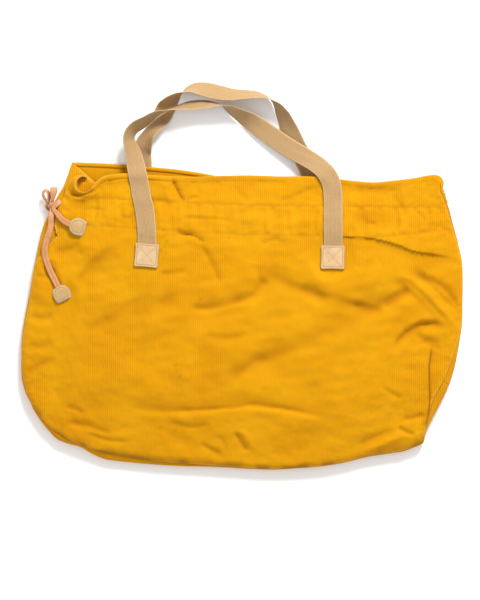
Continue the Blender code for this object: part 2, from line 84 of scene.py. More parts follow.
def curve_rows(points, per, closed=False):
    """The Catmull-Rom curve through the given rows, with per rows for each span between two."""
    rows = np.asarray(points, dtype=float)
    if closed:
        padded = np.vstack([rows[-1], rows, rows[0], rows[1]])
    else:
        padded = np.vstack([2 * rows[0] - rows[1], rows, 2 * rows[-1] - rows[-2]])
    t = np.linspace(0.0, 1.0, per, endpoint=False)[None, :, None]
    a, b, c, d = (padded[i:len(padded) - 3 + i, None, :] for i in range(4))
    fine = 0.5 * (2 * b + (c - a) * t + (2 * a - 5 * b + 4 * c - d) * t ** 2
                  + (3 * b - a - 3 * c + d) * t ** 3)
    return np.vstack([fine.reshape(-1, rows.shape[1]), padded[-2]])


def distances(path):
    """How far along a path each of its rows lies, from rows x, y and, if given, z."""
    steps = np.linalg.norm(np.diff(path[:, :3], axis=0), axis=1)
    return np.concatenate([[0.0], np.cumsum(steps)])


def smooth_path(points, count, closed=False):
    """count rows evenly spaced along the Catmull-Rom curve through the given rows."""
    fine = curve_rows(points, 16, closed)
    along = distances(fine)
    wanted = np.linspace(0.0, along[-1], count, endpoint=not closed)
    return np.column_stack([np.interp(wanted, along, column) for column in fine.T])


def closest(path, point):
    """Index of the path's row that lies nearest to a point in plan."""
    return int(np.argmin(np.hypot(*(path[:, :2] - point).T)))


def plan_turn(degrees):
    """Matrix that turns rows x, y anticlockwise."""
    angle = math.radians(degrees)
    return np.array([[math.cos(angle), math.sin(angle)], [-math.sin(angle), math.cos(angle)]])


def nearest(x, y, path):
    """From points to a polyline of rows (x, y, ...): signed distance, positive on the left of the
    way it runs, share of its length, and the other columns there."""
    path = np.asarray(path, dtype=float)
    along = distances(path[:, :2])
    best = np.full(np.shape(x), np.inf)
    side = np.ones(np.shape(x))
    where = np.zeros(np.shape(x))
    for i, step in enumerate(np.diff(along)):
        (ax, ay), (bx, by) = path[i, :2], path[i + 1, :2]
        t = np.clip(((x - ax) * (bx - ax) + (y - ay) * (by - ay)) / step ** 2, 0.0, 1.0)
        gap = np.hypot(x - ax - t * (bx - ax), y - ay - t * (by - ay))
        closer = gap < best
        cross = (bx - ax) * (y - ay) - (by - ay) * (x - ax)
        best = np.where(closer, gap, best)
        side = np.where(closer, np.where(cross < 0, -1.0, 1.0), side)
        where = np.where(closer, along[i] + t * step, where)
    extra = [np.interp(where, along, path[:, k]) for k in range(2, path.shape[1])]
    return best * side, where / along[-1], extra


def rumple(x, y, size, seed, count=26):
    """Gentle waves of about the given size, about -1 to 1: a sum of plane waves of seeded directions."""
    source = np.random.default_rng(seed)
    total = np.zeros(np.broadcast(x, y).shape)
    for turn, phase, share in source.uniform(0.0, 1.0, (count, 3)):
        wave = 2 * math.pi / (size * (0.7 + 0.9 * share))
        angle = math.pi * turn
        total += np.sin(wave * (x * math.cos(angle) + y * math.sin(angle)) + 2 * math.pi * phase)
    return total / math.sqrt(count)


def add_surface(name, grid, finish, thick=0.0, keep=None, loop=False, caps=False, flip=False, **values):
    """A smooth sheet through a grid of points in millimetres, rows by columns.

    keep marks the cells that are cloth, loop joins the last column to the first, caps closes both
    ends of a loop, and thick gives the sheet a wall inwards. values are numbers kept at each point.
    """
    rows, columns = grid.shape[:2]
    index = np.arange(rows * columns).reshape(rows, columns)
    first = index if loop else index[:, :-1]
    second = np.roll(index, -1, axis=1) if loop else index[:, 1:]
    cells = np.stack([first[:-1], second[:-1], second[1:], first[1:]], axis=-1)
    cells = cells.reshape(-1, 4) if keep is None else cells[keep]
    used, packed = np.unique(cells, return_inverse=True)
    faces = packed.reshape(-1, 4)
    if flip:
        faces = faces[:, ::-1]
    faces = faces.tolist()
    if caps:
        ends = [list(range(columns))[::-1], list(range((rows - 1) * columns, rows * columns))]
        faces += [end[::-1] for end in ends] if flip else ends
    mesh = bpy.data.meshes.new(name)
    mesh.from_pydata((grid.reshape(-1, 3)[used] * MM).tolist(), [], faces)
    for key, value in values.items():
        flat = np.asarray(value, dtype=np.float32)
        if flat.ndim == grid.ndim:
            mesh.attributes.new(key, "FLOAT_VECTOR", "POINT").data.foreach_set(
                "vector", flat.reshape(-1, 3)[used].ravel())
        else:
            mesh.attributes.new(key, "FLOAT", "POINT").data.foreach_set("value", flat.reshape(-1)[used])
    mesh.shade_smooth()
    mesh.materials.append(finish)
    made = bpy.data.objects.new(name, mesh)
    bpy.context.scene.collection.objects.link(made)
    if thick:
        wall = made.modifiers.new("wall", "SOLIDIFY")
        wall.thickness = thick * MM
        wall.offset = -1.0
    return made


def place_piece(piece, nodes, body="sack", hinge=None):
    """The piece stands for CAD nodes if any are named, and rides on a body; given a hinge, it is
    only baked where it stands and does not bend."""
    if nodes:
        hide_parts(*nodes)
    if hinge is None:
        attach(piece, body)
    else:
        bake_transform(piece)


# ---- materials ----

WAVE = math.pi / 10     # a Wave texture's scale times its period in metres


def add_node(tree, kind, inputs=None, **settings):
    """A shader node with its settings, and its inputs as numbers, colours or sockets to link."""
    made = tree.nodes.new("ShaderNode" + kind)
    for key, value in settings.items():
        setattr(made, key, value)
    for key, value in (inputs or {}).items():
        if isinstance(value, bpy.types.NodeSocket):
            tree.links.new(value, made.inputs[key])
        else:
            made.inputs[key].default_value = value
    return made


def mix_values(tree, share, first, second):
    """A number between two: first where share is 0, second where it is 1."""
    return add_node(tree, "Mix", {0: share, 2: first, 3: second}).outputs[0]


def mix_colours(tree, share, first, second):
    """A colour between two, given as hex values or sockets: first where share is 0, second at 1."""
    first, second = (colour(value) if isinstance(value, str) else value for value in (first, second))
    return add_node(tree, "Mix", {0: share, 6: first, 7: second}, data_type="RGBA").outputs[2]


def remap(tree, value, low, high, start=0.0, end=1.0):
    """The value's span from low to high spread over start to end, and held there beyond it."""
    return add_node(tree, "MapRange", {"Value": value, 1: low, 2: high, 3: start, 4: end}).outputs[0]


def noise(tree, place, scale, detail, roughness=0.5):
    """Cloudy noise, scale times finer than a metre."""
    return add_node(tree, "TexNoise", {"Vector": place, "Scale": scale, "Detail": detail,
                                       "Roughness": roughness}).outputs["Fac"]


def stripes(tree, place, period, distortion, detail_scale=1.0, direction="X"):
    """Wavering stripes that repeat at a period in metres."""
    return add_node(tree, "TexWave", {"Vector": place, "Scale": WAVE / period, "Distortion": distortion,
                                      "Detail": 2.0, "Detail Scale": detail_scale},
                    bands_direction=direction).outputs["Fac"]


def kept_value(tree, name, output="Fac"):
    """What a mesh keeps at each of its points under this name."""
    return add_node(tree, "Attribute", attribute_name=name).outputs[output]


def object_place(tree):
    """Place on the object in metres."""
    return add_node(tree, "TexCoord").outputs["Object"]


def turned_place(tree, place, degrees):
    """The place turned in plan."""
    turn = (0.0, 0.0, math.radians(degrees))
    return add_node(tree, "Mapping", {"Vector": place, "Rotation": turn}).outputs[0]


def new_material(name, roughness, **shader_inputs):
    """A Principled material, its node tree and its shader."""
    made = bpy.data.materials.new(name)
    made.use_nodes = True
    shader = made.node_tree.nodes["Principled BSDF"]
    shader.inputs["Roughness"].default_value = roughness
    for key, value in shader_inputs.items():
        shader.inputs[key.replace("_", " ")].default_value = value
    return made, made.node_tree, shader


def cover(tree, shader, base, height, strength, depth):
    """Gives the shader its colour, and a relief of the given strength and depth in metres."""
    tree.links.new(base, shader.inputs["Base Color"])
    relief = add_node(tree, "Bump", {"Height": height, "Strength": strength, "Distance": depth})
    tree.links.new(relief.outputs[0], shader.inputs["Normal"])


def dyed_cotton_twill():
    """Heavy cotton twill, piece dyed and washed: matt, with faint ribs along Y and finer diagonals.
    The real threads are about 0.6 mm apart; they are drawn 3.1 and 3.3 mm apart so that they show."""
    made, tree, shader = new_material("dyed_cotton_twill", 0.92, Sheen_Weight=0.03, Sheen_Roughness=0.5,
                                      Specular_IOR_Level=0.1)
    place = object_place(tree)
    ribs = stripes(tree, place, 0.0033, 2.0, 2.5)
    twill = stripes(tree, turned_place(tree, place, -52), 0.0031, 1.4, 3.0)
    fibre = noise(tree, place, 900.0, 3.0, 0.7)
    cloud = noise(tree, place, 14.0, 4.0, 0.6)
    height = mix_values(tree, 0.35, mix_values(tree, 0.45, ribs, twill), fibre)
    body = mix_colours(tree, remap(tree, height, 0.2, 0.8), "#B17300", "#CE8E02")
    washed = mix_colours(tree, remap(tree, cloud, 0.35, 0.75, 0.0, 0.5), body, "#D19A07")
    # painted shade: dark brown mixed in by the value kept at each point, laid along creases, stitched
    # grooves and inside the hem's roll
    crease_shaded = mix_colours(tree, kept_value(tree, "fold"), washed, "#7E3C00")
    worn = add_node(tree, "Math", {0: kept_value(tree, "wear"), 1: remap(tree, fibre, 0.4, 0.65)},
                    operation="MULTIPLY")
    pale = mix_colours(tree, worn.outputs[0], crease_shaded, "#D5AB5C")
    spotted = mix_colours(tree, kept_value(tree, "stain"), pale, "#7A4E10")
    cover(tree, shader, spotted, height, 0.42, 0.0006)
    return made


def cotton_webbing():
    """Undyed cotton webbing, tightly woven: matt, lengthwise ribs, nubbly, with paler selvedges.
    Ribs are drawn 2.1 mm apart and the weft 1.7 mm, coarser than the real 1.2 and 0.8, to show."""
    made, tree, shader = new_material("cotton_webbing", 0.85, Sheen_Weight=0.1, Sheen_Roughness=0.5,
                                      Specular_IOR_Level=0.25)
    strip = kept_value(tree, "strip", "Vector")
    ribs = stripes(tree, strip, 0.0021, 1.5, 4.0)
    weft = stripes(tree, strip, 0.0017, 3.0, 4.0, "Y")
    nub = noise(tree, strip, 620.0, 4.0, 0.75)
    height = mix_values(tree, 0.6, mix_values(tree, 0.5, ribs, weft), nub)
    body = mix_colours(tree, remap(tree, height, 0.25, 0.75), "#886942", "#BD9B6E")
    pale = mix_colours(tree, kept_value(tree, "edge"), body, "#BFA076")
    cover(tree, shader, pale, height, 0.8, 0.0007)
    return made


def vegetable_tanned_leather(name, light, dark, rim):
    """Undyed vegetable-tanned leather: smooth and semi-matt with fine pores, slow colour changes
    and a different tone along its cut or rubbed edge. Pores are drawn 0.9 mm apart."""
    made, tree, shader = new_material(name, 0.5, Coat_Weight=0.06, Coat_Roughness=0.4)
    place = object_place(tree)
    pores = add_node(tree, "TexVoronoi", {"Vector": place, "Scale": 1100.0}, feature="F1")
    grain = noise(tree, place, 260.0, 5.0, 0.65)
    cloud = noise(tree, place, 55.0, 3.0, 0.6)
    tone = mix_values(tree, 0.45, cloud, grain)
    body = mix_colours(tree, remap(tree, tone, 0.35, 0.65), dark, light)
    share = add_node(tree, "Math", {0: kept_value(tree, "edge"), 1: 0.8}, operation="MULTIPLY")
    rimmed = mix_colours(tree, share.outputs[0], body, rim)
    tree.links.new(remap(tree, tone, 0.3, 0.7, 0.42, 0.62), shader.inputs["Roughness"])
    cover(tree, shader, rimmed, mix_values(tree, 0.4, grain, pores.outputs["Distance"]), 0.3, 0.0003)
    return made


def spun_thread(name, light, dark):
    """Spun sewing thread: matt, with a fine twist drawn 0.7 mm apart."""
    made, tree, shader = new_material(name, 0.7)
    place = object_place(tree)
    twist = stripes(tree, turned_place(tree, place, 35), 0.0007, 1.0)
    body = mix_colours(tree, mix_values(tree, 0.5, twist, noise(tree, place, 700.0, 3.0)), dark, light)
    cover(tree, shader, body, twist, 0.4, 0.0001)
    return made


def nickel_plate():
    """Nickel-plated brass, tumbled and handled: a grey metal whose gloss varies with fine scratches
    and with tarnish in patches a few millimetres across."""
    made, tree, shader = new_material("nickel_plate", 0.35, Metallic=1.0)
    tarnish = noise(tree, object_place(tree), 420.0, 4.0, 0.7)
    body = mix_colours(tree, tarnish, "#8E8B84", "#C9C7C0")
    tree.links.new(body, shader.inputs["Base Color"])
    tree.links.new(remap(tree, tarnish, 0.3, 0.7, 0.28, 0.5), shader.inputs["Roughness"])
    return made


CANVAS = dyed_cotton_twill()
WEBBING = cotton_webbing()
PATCH_LEATHER = vegetable_tanned_leather("cream_patch_leather", "#CBAB81", "#B99569", "#A1855F")
LACE_LEATHER = vegetable_tanned_leather("natural_lace_leather", "#C48A5C", "#AE7245", "#B98056")
TAB_LEATHER = vegetable_tanned_leather("pale_tab_leather", "#BD9B66", "#AA8751", "#B9AD98")
YELLOW_THREAD = spun_thread("dyed_spun_thread", "#D9981A", "#C48208")
TAN_THREAD = spun_thread("tan_spun_thread", "#A06A42", "#83522F")
CREAM_THREAD = spun_thread("cream_spun_thread", "#BBA077", "#A3855A")
METAL = nickel_plate()


# ---- the sack's plan and heights, in millimetres ----

# Front panel's edge from the mouth's left end round the base to its right end: x, y, height
FRONT_EDGE = smooth_path([
    (-276, 141, 21), (-280, 128, 20.5), (-283, 120, 20), (-289, 110, 20), (-294, 86, 20), (-291, 73, 20),
    (-291, 64, 20), (-300, 56, 20), (-307, 46, 19.5), (-315, 35, 18.5), (-324.5, 24.5, 16), (-329.5, 2, 15),
    (-333.5, -22, 15), (-337, -48, 15), (-341.5, -70, 15),
    (-346, -100, 15), (-347, -126, 15), (-346, -156, 15), (-340, -184, 15), (-334, -198, 16),
    (-325, -211, 18), (-314, -226, 19), (-302, -238, 20), (-284, -251, 20), (-264, -262, 19),
    (-224, -277, 18), (-180, -285, 17), (-150, -290, 16), (-119, -294, 15), (-60, -298, 14),
    (10, -303, 14), (48, -305, 14), (86, -303, 15), (124, -300, 16), (162, -293, 17), (199, -284, 16),
    (237, -278, 15), (256, -275, 15), (273, -269, 15), (285, -264, 15), (288, -253, 16), (292, -238, 19),
    (297, -214, 20), (304, -192, 20), (322, -158, 20), (338, -114, 20), (346, -87, 18), (348, -66, 15),
    (349.5, -20, 14), (348.5, 18, 16), (344, 42, 18), (335, 72, 19), (326, 104, 19.5), (319.5, 122, 19.8),
    (315, 132, 19.8),
], 520)
# Where the left side turns into the base, and the base into the right side
SIDE_TURN = (closest(FRONT_EDGE, (-338, -190)), closest(FRONT_EDGE, (286, -262)))

# Front hem from inside the small roll at the left end to the right end: x, y, height, and the
# width of its heading
FRONT_HEM = smooth_path([
    (-244, 155, 22, 1), (-250, 157, 26, 2), (-255.5, 154.5, 28.5, 6), (-259, 150, 29.5, 11),
    (-260, 145, 30, 15), (-259, 139, 30, 17), (-256, 134.5, 30, 17), (-251, 131.8, 30, 16),
    (-244, 132, 29.5, 15), (-237, 138, 29, 15), (-229, 148, 28, 15), (-217, 156.5, 27, 15),
    (-199, 160, 25.5, 15), (-180, 161, 24.5, 15), (-145, 159, 23.4, 15), (-106, 156.5, 23, 15),
    (-70, 156, 22.6, 15), (-37, 157, 22.5, 15), (10, 158, 22.5, 15), (61, 156.5, 22.5, 15),
    (100, 156.5, 22.5, 15), (128, 155, 22.5, 15), (155, 152, 22.5, 15), (181, 149, 22.5, 15),
    (209, 147, 22.5, 15), (231, 149, 22.5, 15), (267, 153, 22.5, 15), (288, 157, 22.5, 14),
    (303, 159, 22, 12), (313, 156.5, 21, 8), (318, 149, 20, 5), (317.5, 141, 19.9, 3), (315, 132, 19.8, 0.6),
], 700)

# Outer line of the sack from the mouth's left corner round to the right end
OUTLINE = smooth_path([
    (-268, 180), (-273, 165), (-277, 152), (-281, 142), (-289, 129), (-295, 118), (-301, 103), (-308, 91),
    (-314, 77), (-320, 53), (-325, 28), (-330, 3), (-334, -22), (-343, -69), (-347, -97), (-348, -125),
    (-348, -150), (-346, -168), (-340, -188), (-335, -197), (-328, -212), (-318, -228), (-306, -243),
    (-292, -257), (-274, -265), (-255, -270), (-236, -281), (-217, -289), (-198, -292), (-160, -296),
    (-103, -300), (-47, -301.5), (10, -304.5), (48, -306), (86, -304), (124, -301), (162, -295),
    (199, -286), (237, -280), (256, -277), (275, -270), (287, -264), (290, -253), (295, -238), (313, -203),
    (327, -174), (338, -139), (347, -88), (349, -68), (349, -20), (347, 16), (342, 42), (333, 72),
    (324, 104), (317, 124), (318, 150),
], 520)

# Folds and dents of the front cloth. Each row: its line from left to right, height, reach above
# and below the line (left and right of its way), and how far the upper side slides over the lower.
FOLD_DEPTH = 1.6    # how much deeper than their listed height the folds are pressed
FOLD_TAPER = 0.22   # share of a fold's length over which each end fades
SLIDE_REACH = 7.0   # how far from its line the side that hangs over is shifted
FOLDS = [
    # under the casing, the deep fold at the right that hangs over
    ([(118, 61), (150, 62.5), (189, 62), (212, 59), (242, 51), (272, 40), (302, 35), (344, 27)],
     1.7, 30, 2.2, 2.6),
    ([(130, 55), (189, 55), (212, 51), (242, 43), (272, 31), (302, 26), (330, 19)], -0.7, 5, 14, 0),
    # heading
    ([(-110, 152), (-104, 140), (-97, 127), (-91, 116)], -1.0, 5, 8, 0),
    ([(-122, 150), (-118, 132), (-108, 112)], 1.5, 8, 6, 0),
    ([(-274, 131), (-265, 128.5), (-252, 127.5), (-240, 130.5), (-230, 138)], -3.4, 2.4, 2.6, 0),
    ([(-276, 127), (-262, 123), (-250, 121), (-236, 125), (-222, 134)], 1.2, 5, 6, 0),
    ([(-271, 148), (-272, 138), (-270, 132)], -2.0, 3.5, 3, 0),
    ([(172, 138), (200, 137), (228, 134), (262, 139)], -1.3, 6, 9, 0),
    ([(236, 128), (250, 112), (262, 92)], -1.2, 6, 4, 0),
    # under the left half of the casing
    ([(-104, 69), (-89, 66), (-74, 64), (-56, 52)], -2.6, 3.5, 3, 2.0),
    ([(-66, 52), (-47, 21), (-29, -18)], -2.0, 3.5, 3.5, 0),
    ([(-134, 6), (-110, 5), (-84, 9)], -1.2, 5, 5, 0),
    ([(-185, -62), (-150, -50), (-98, -29)], -2.0, 12, 18, 0),
    ([(-165, -84), (-120, -66), (-70, -52)], 1.6, 16, 14, 0),
    ([(-86, -49), (-53, -51), (-20, -44), (8, -35)], -2.4, 6, 5, 0),
    ([(-54, -61), (-26, -48), (4, -44)], 1.6, 5, 8, 0),
    # the middle and the long fold above the base
    ([(-28, -168), (-13, -158), (17, -136), (50, -128)], -1.8, 14, 9, 0),
    ([(-205, -198), (-144, -211), (-64, -210), (-12, -202), (17, -201), (40, -204), (88, -212),
      (136, -222), (174, -231)], -1.7, 14, 5, 0),
    ([(-190, -212), (-144, -222), (-64, -221), (-12, -213), (17, -212), (88, -223), (150, -236)],
     0.8, 5, 16, 0),
    ([(-10, -244), (0, -262), (11, -278)], -2.6, 3, 5, 0),
    ([(-2, -240), (10, -258), (22, -276)], 1.8, 6, 4, 0),
    # left end
    ([(-281, -230), (-240, -237), (-204, -249)], -2.2, 7, 5, 0),
    ([(-279, -205), (-262, -210), (-246, -217)], -1.4, 6, 5, 0),
    ([(-315, 18), (-300, 8), (-287, -16), (-280, -24)], -2.6, 6, 8, 0),
    ([(-330, -22), (-312, -34), (-286, -34), (-268, -10), (-240, 26), (-212, 48)], 1.8, 12, 10, 0),
    ([(-266, -18), (-240, 12), (-214, 34), (-188, 48)], -1.6, 10, 12, 0),
    ([(-336, -62), (-314, -66), (-296, -60)], -1.6, 6, 7, 0),
    ([(-343, -110), (-318, -112), (-296, -104)], -1.4, 8, 8, 0),
    # right end
    ([(90, -18), (110, -26), (138, -36)], -1.6, 7, 10, 0),
    ([(172, -43), (196, -49), (225, -53)], -2.0, 6, 10, 0),
    ([(221, -48), (243, -36), (268, -20)], -1.8, 12, 9, 0),
    ([(232, 4), (256, -2), (288, -27), (314, -54), (348, -86)], 2.2, 7, 8, 0),
    ([(226, -8), (250, -14), (286, -44), (318, -84)], -1.1, 6, 8, 0),
    ([(268, 10), (290, -3), (318, -18), (348, -54)], -2.6, 6, 6, 0),
    ([(232, -118), (256, -92), (281, -78), (305, -76), (327, -82)], -2.6, 4, 9, 0),
    ([(240, -100), (262, -78), (284, -68), (310, -67)], 1.6, 9, 5, 0),
    ([(270, -89), (292, -100), (316, -109)], -2.0, 6, 5, 0),
    ([(276, -106), (290, -104), (306, -112), (318, -116)], -1.6, 3, 4, 0),
    ([(219, -172), (234, -183), (254, -194)], -1.5, 3.2, 3.6, 0),
    ([(252, -226), (270, -224), (290, -218)], -2.2, 4, 4, 0),
    ([(246, -238), (258, -245), (274, -251)], -2.6, 4, 3, 0),
    ([(188, -282), (225, -264), (262, -248)], 2.4, 8, 6, 0),
    ([(180, -268), (215, -252), (246, -240)], -1.8, 7, 7, 0),
    # upright fold at the right, whose left side hangs over the dent beside it
    ([(301, -104), (297, -126), (295, -148), (296, -196), (293, -240)], -3.6, 13, 2.0, -2.2),
    # more of the middle and the right
    ([(20, 15), (58, -5), (84, -16), (129, -31), (173, -43), (221, -53)], -1.9, 7, 11, 0),
    ([(206, -49), (239, -34), (268, -16)], -1.6, 6, 10, 0),
    ([(100, 22), (140, 8), (186, -4), (224, -18)], 1.7, 20, 16, 0),
    ([(253, -1), (283, -26), (305, -50), (328, -74)], -1.8, 3.5, 4, 0),
    ([(264, 8), (298, -14), (322, -38), (346, -58)], -1.8, 3.5, 4, 0),
    ([(268, -82), (277, -76), (294, -74), (316, -74)], -1.5, 3, 4, 0),
    ([(-108, 157), (-107, 148), (-98, 127), (-87, 115)], -2.2, 3, 2.0, -2.6),
    ([(-90, 116), (-80, 123), (-65, 125)], -1.3, 3, 3, 0),
    ([(28, 49), (44, 56), (62, 61)], -1.3, 4, 4, 0),
    ([(56, 117), (89, 129), (119, 141)], -1.1, 5, 5, 0),
    ([(-12, 144), (10, 115)], -0.8, 4, 4, 0),
    ([(275, 101), (284, 95), (290, 84)], -1.3, 2.5, 2.5, 0),
    ([(193, 82), (203, 83), (213, 82)], -1.2, 2.5, 3, 0),
    ([(171, 92), (215, 88), (264, 84)], -1.4, 16, 16, 0),
    ([(-99, 93), (-60, 91), (-9, 88)], -1.0, 2.5, 4, 0),
    ([(303, -167), (318, -168)], -1.0, 3, 3, 0),
    # below the bow and down the left end
    ([(-330, 6), (-318, 0), (-304, 2), (-294, 14)], -1.6, 5, 6, 0),
    ([(-297, 44), (-284, 40), (-270, 44), (-252, 56)], -1.5, 5, 7, 0),
    ([(-322, 30), (-308, 26), (-290, 30)], 1.3, 6, 5, 0),
    ([(-286, 66), (-262, 52), (-228, 46), (-196, 52)], 1.4, 9, 10, 0),
    ([(-250, 104), (-232, 106), (-214, 103)], -0.9, 3, 3, 0),
    ([(-286, 110), (-278, 104), (-268, 105)], -1.3, 3, 3, 0),
    ([(-190, 100), (-184, 92), (-172, 94), (-166, 104)], -0.9, 3, 3, 0),
    ([(-262, -91), (-213, -69), (-175, -45), (-130, -24)], -1.5, 12, 14, 0),
    ([(-346, -153), (-328, -144), (-311, -137), (-292, -126)], -1.6, 6, 8, 0),
    ([(-20, -156), (55, -120), (131, -90), (191, -60), (262, -16)], -2.0, 20, 15, 0),
    ([(-20, -42), (8, -33), (25, -20), (37, 4)], -1.9, 6, 9, 0),
    ([(-125, -213), (-65, -210), (-10, -207), (13, -203), (70, -209), (124, -220)], -1.6, 2.2, 2.6, 0),
    ([(-62, -90), (-20, -98), (16, -86)], -1.2, 5, 6, 0),
    ([(-118, -228), (-80, -238), (-46, -232)], -1.3, 5, 5, 0),
    ([(-66, -262), (-48, -274), (-30, -282)], -1.6, 3, 4, 0),
    ([(-40, -250), (-28, -262), (-22, -280)], -1.4, 3, 3, 0),
    ([(-246, -246), (-214, -258), (-176, -262)], -1.5, 4, 4, 0),
    ([(42, -20), (30, -2), (28, 20)], -1.2, 4, 4, 0),
    # broad hollows and rises
    ([(-120, -160), (-60, -130), (20, -90)], 1.5, 60, 40, 0),
    ([(60, -80), (140, -110), (220, -130)], 1.6, 50, 50, 0),
    ([(60, 20), (140, 10), (230, 10)], 1.8, 40, 30, 0),
    ([(-230, -120), (-180, -150), (-120, -180)], 1.2, 40, 30, 0),
]
# The casing's two stitch lines
UPPER_SEAM = [(-279, 127), (-239, 123), (-144, 119), (-2, 112), (140, 110), (318, 108)]
LOWER_SEAM = [(-291, 86), (-239, 80), (-144, 74), (-2, 66), (140, 63), (240, 64), (327, 74)]
# Where patches and tabs rest on the front cloth: x, y, height under them, size
RESTS = [(-149, 33, 29.8, 25), (143.5, 29.6, 29.8, 25), (-283.5, -28, 25.9, 14), (-258, 77.5, 26.2, 14)]
# Small stains: x, y, size
SPOTS = [(-122, 72, 2), (-118, 66, 1.7), (-124, 61, 1.8), (-117, 55, 2), (-121, 47, 1.6),
         (-126, 40, 1.9), (-118, 36, 1.6), (-123, 27, 1.7), (-127, -238, 2), (-106, -244, 1.8),
         (-104, -140, 2.6), (-96, -158, 2.4), (-101, -150, 2.2), (289, 5, 2), (303, -1, 1.8),
         (-64, -36, 1.8), (336, -101, 1.8), (-20, 60, 1.5)]


def fold_field(x, y):
    """Sum of the folds: each falls off from its line as exp(-(distance / reach)^1.6) and tapers to
    its ends. Returns the height, the two shifts in plan, and the painted shade along the folds' lines."""
    height, shift_x, shift_y, depth = (np.zeros(np.shape(x)) for _ in range(4))
    for line, rise, above, below, slide in FOLDS:
        path = smooth_path(line, 4 * len(line))
        gap, share, _ = nearest(x, y, path)
        taper = ease(share / FOLD_TAPER) * ease((1 - share) / FOLD_TAPER)
        reach = np.where(gap > 0, above, below)
        bump = np.exp(-(np.abs(gap) / reach) ** 1.6) * taper
        height += FOLD_DEPTH * rise * bump
        line_width = 1.9 if slide else 0.7 * reach
        # painted shade along the fold's line: strongest where one side hangs over, lighter in valleys, none
        # on ridges
        shade_strength = 0.24 if slide else 0.12 if rise < 0 else 0.0
        depth += bell(gap, line_width) * taper * abs(rise) * shade_strength
        if slide:
            way = path[-1] - path[0]
            across = np.array([way[1], -way[0]]) / np.hypot(*way)
            push = slide * bell(gap, SLIDE_REACH) * taper * (np.sign(slide) * gap > 0)
            shift_x += across[0] * push
            shift_y += across[1] * push
    return height, shift_x, shift_y, np.clip(depth, 0.0, 1.0)


def casing_field(x, y):
    """Two stitched grooves, the cord's soft ridge between them, and pressed ripples along X; also the
    painted shade laid in the grooves.
    """
    upper = np.interp(x, *np.array(UPPER_SEAM).T)
    lower = np.interp(x, *np.array(LOWER_SEAM).T)
    share = (y - lower) / (upper - lower)
    between = ease(share / 0.12) * ease((1 - share) / 0.12)
    heading = ease(share - 1.0) * ease((1.9 - share) / 0.5)
    ripple = rumple(x * 3.0, y * 0.5, 60.0, 11) + 0.7 * rumple(x * 6.0, y * 0.8, 60.0, 12)
    grooves, beside = (bell(y - upper, width) + bell(y - lower, width) for width in (2.4, 7.0))
    pucker = rumple(x * 5.0, y, 50.0, 13) * beside
    cord = bell(share - 0.45, 0.2)
    height = 1.1 * cord - 0.65 * grooves + ripple * between + 0.5 * ripple * heading + 0.5 * pucker
    # the second value is painted shade in the stitched grooves
    return height, 0.14 * grooves * (0.6 + 0.4 * np.abs(pucker))


FILL_REACH = 110    # the sack is full this far inside its edge
SEAM_REACH = 14     # folds and rumples are at their full height this far inside the edge


def front_height(x, y):
    """Height of the front cloth: the filled form, its folds, casing and rumples, rounded down to the
    edge as a quarter of an ellipse, with small gathers along the seam."""
    gap, share, (edge_z,) = nearest(x, y, FRONT_EDGE)
    inside = np.abs(gap)
    form = EDGE_Z + (FULL_Z - EDGE_Z) * ease(inside / FILL_REACH) * (1 - ease((y - 60) / 95))
    folds, _, _, depth = fold_field(x, y)
    casing, groove = casing_field(x, y)
    loose = ease(inside / SEAM_REACH)
    rumples = 1.3 * rumple(x, y, 70, 21) + 0.45 * rumple(x, y, 26, 22) + 0.2 * rumple(x, y, 11, 23)
    z = form + (folds + casing + rumples) * loose
    below = ease((52 - y) / 30)
    z += 0.5 * np.abs(rumple(x, y, 55, 24)) * loose * below
    gathers = rumple(share * 2600, inside * 0.5, 22, 25) + 0.6 * rumple(share * 2600, inside * 0.5, 10, 26)
    z += 0.55 * gathers * bell(inside, 11)
    # level under the patches, and no higher than the tabs' undersides under them
    for px, py, top, size in RESTS:
        near = 1 - ease((np.hypot(x - px, y - py) - size) / 16)
        z = z + near * (np.minimum(z, top) - z if size < 20 else top - z)
    reach = 4.0 + 1.1 * (EDGE_Z - edge_z)
    round_off = 1 - np.sqrt(np.clip(1 - (1 - np.clip(inside / reach, 0, 1)) ** 2, 0, 1))
    z -= (z - edge_z) * round_off
    # depth and groove are painted shade: along the folds' lines and in the casing's stitched grooves
    return z, depth, groove, inside


# ---- canvas ----

def unit_way(path):
    """Unit direction of travel at each row of a path."""
    way = np.gradient(path, axis=0)
    return way / np.linalg.norm(way, axis=1)[:, None]


def rows_at(path, shares):
    """Rows of a path at shares of its row count."""
    steps = np.linspace(0.0, 1.0, len(path))
    return np.column_stack([np.interp(shares, steps, column) for column in path.T])


def coons(bottom, top, left, right, u, v):
    """A grid between four edges: the two ruled sheets between opposite edges, added, less the flat
    one through the corners. Rows run from v = 1 at the top to v = 0."""
    u, v = u[None, :, None], v[:, None, None]
    ruled = (1 - v) * bottom[None] + v * top[None] + (1 - u) * left[:, None] + u * right[:, None]
    corners = ((1 - v) * ((1 - u) * bottom[0] + u * bottom[-1])
               + v * ((1 - u) * top[0] + u * top[-1]))
    return ruled - corners


def spread(count, close):
    """Shares from 0 to 1, closer together at both ends: t - close * sin(2 pi t) / (2 pi)."""
    t = np.linspace(0.0, 1.0, count)
    return t - close * np.sin(2 * math.pi * t) / (2 * math.pi)


def spot_field(x, y):
    """Small stains, each a little longer along Y and fading from its middle."""
    total = np.zeros(np.shape(x))
    for px, py, size in SPOTS:
        total += 0.42 * bell(np.hypot(x - px, (y - py) * 0.8), size)
    return np.clip(total, 0.0, 1.0)


HEM_SEAM = 8.2          # distance of the front hem's stitches from its edge
ROLL_COLUMNS = 22       # columns of cloth round the small roll at the mouth's left end
BODY_COLUMNS = 238
HEM_STEPS = np.array([0, .03, .07, .13, .2, .28, .36, .43, .49, .54, .59, .66, .76, .88, 1.0])
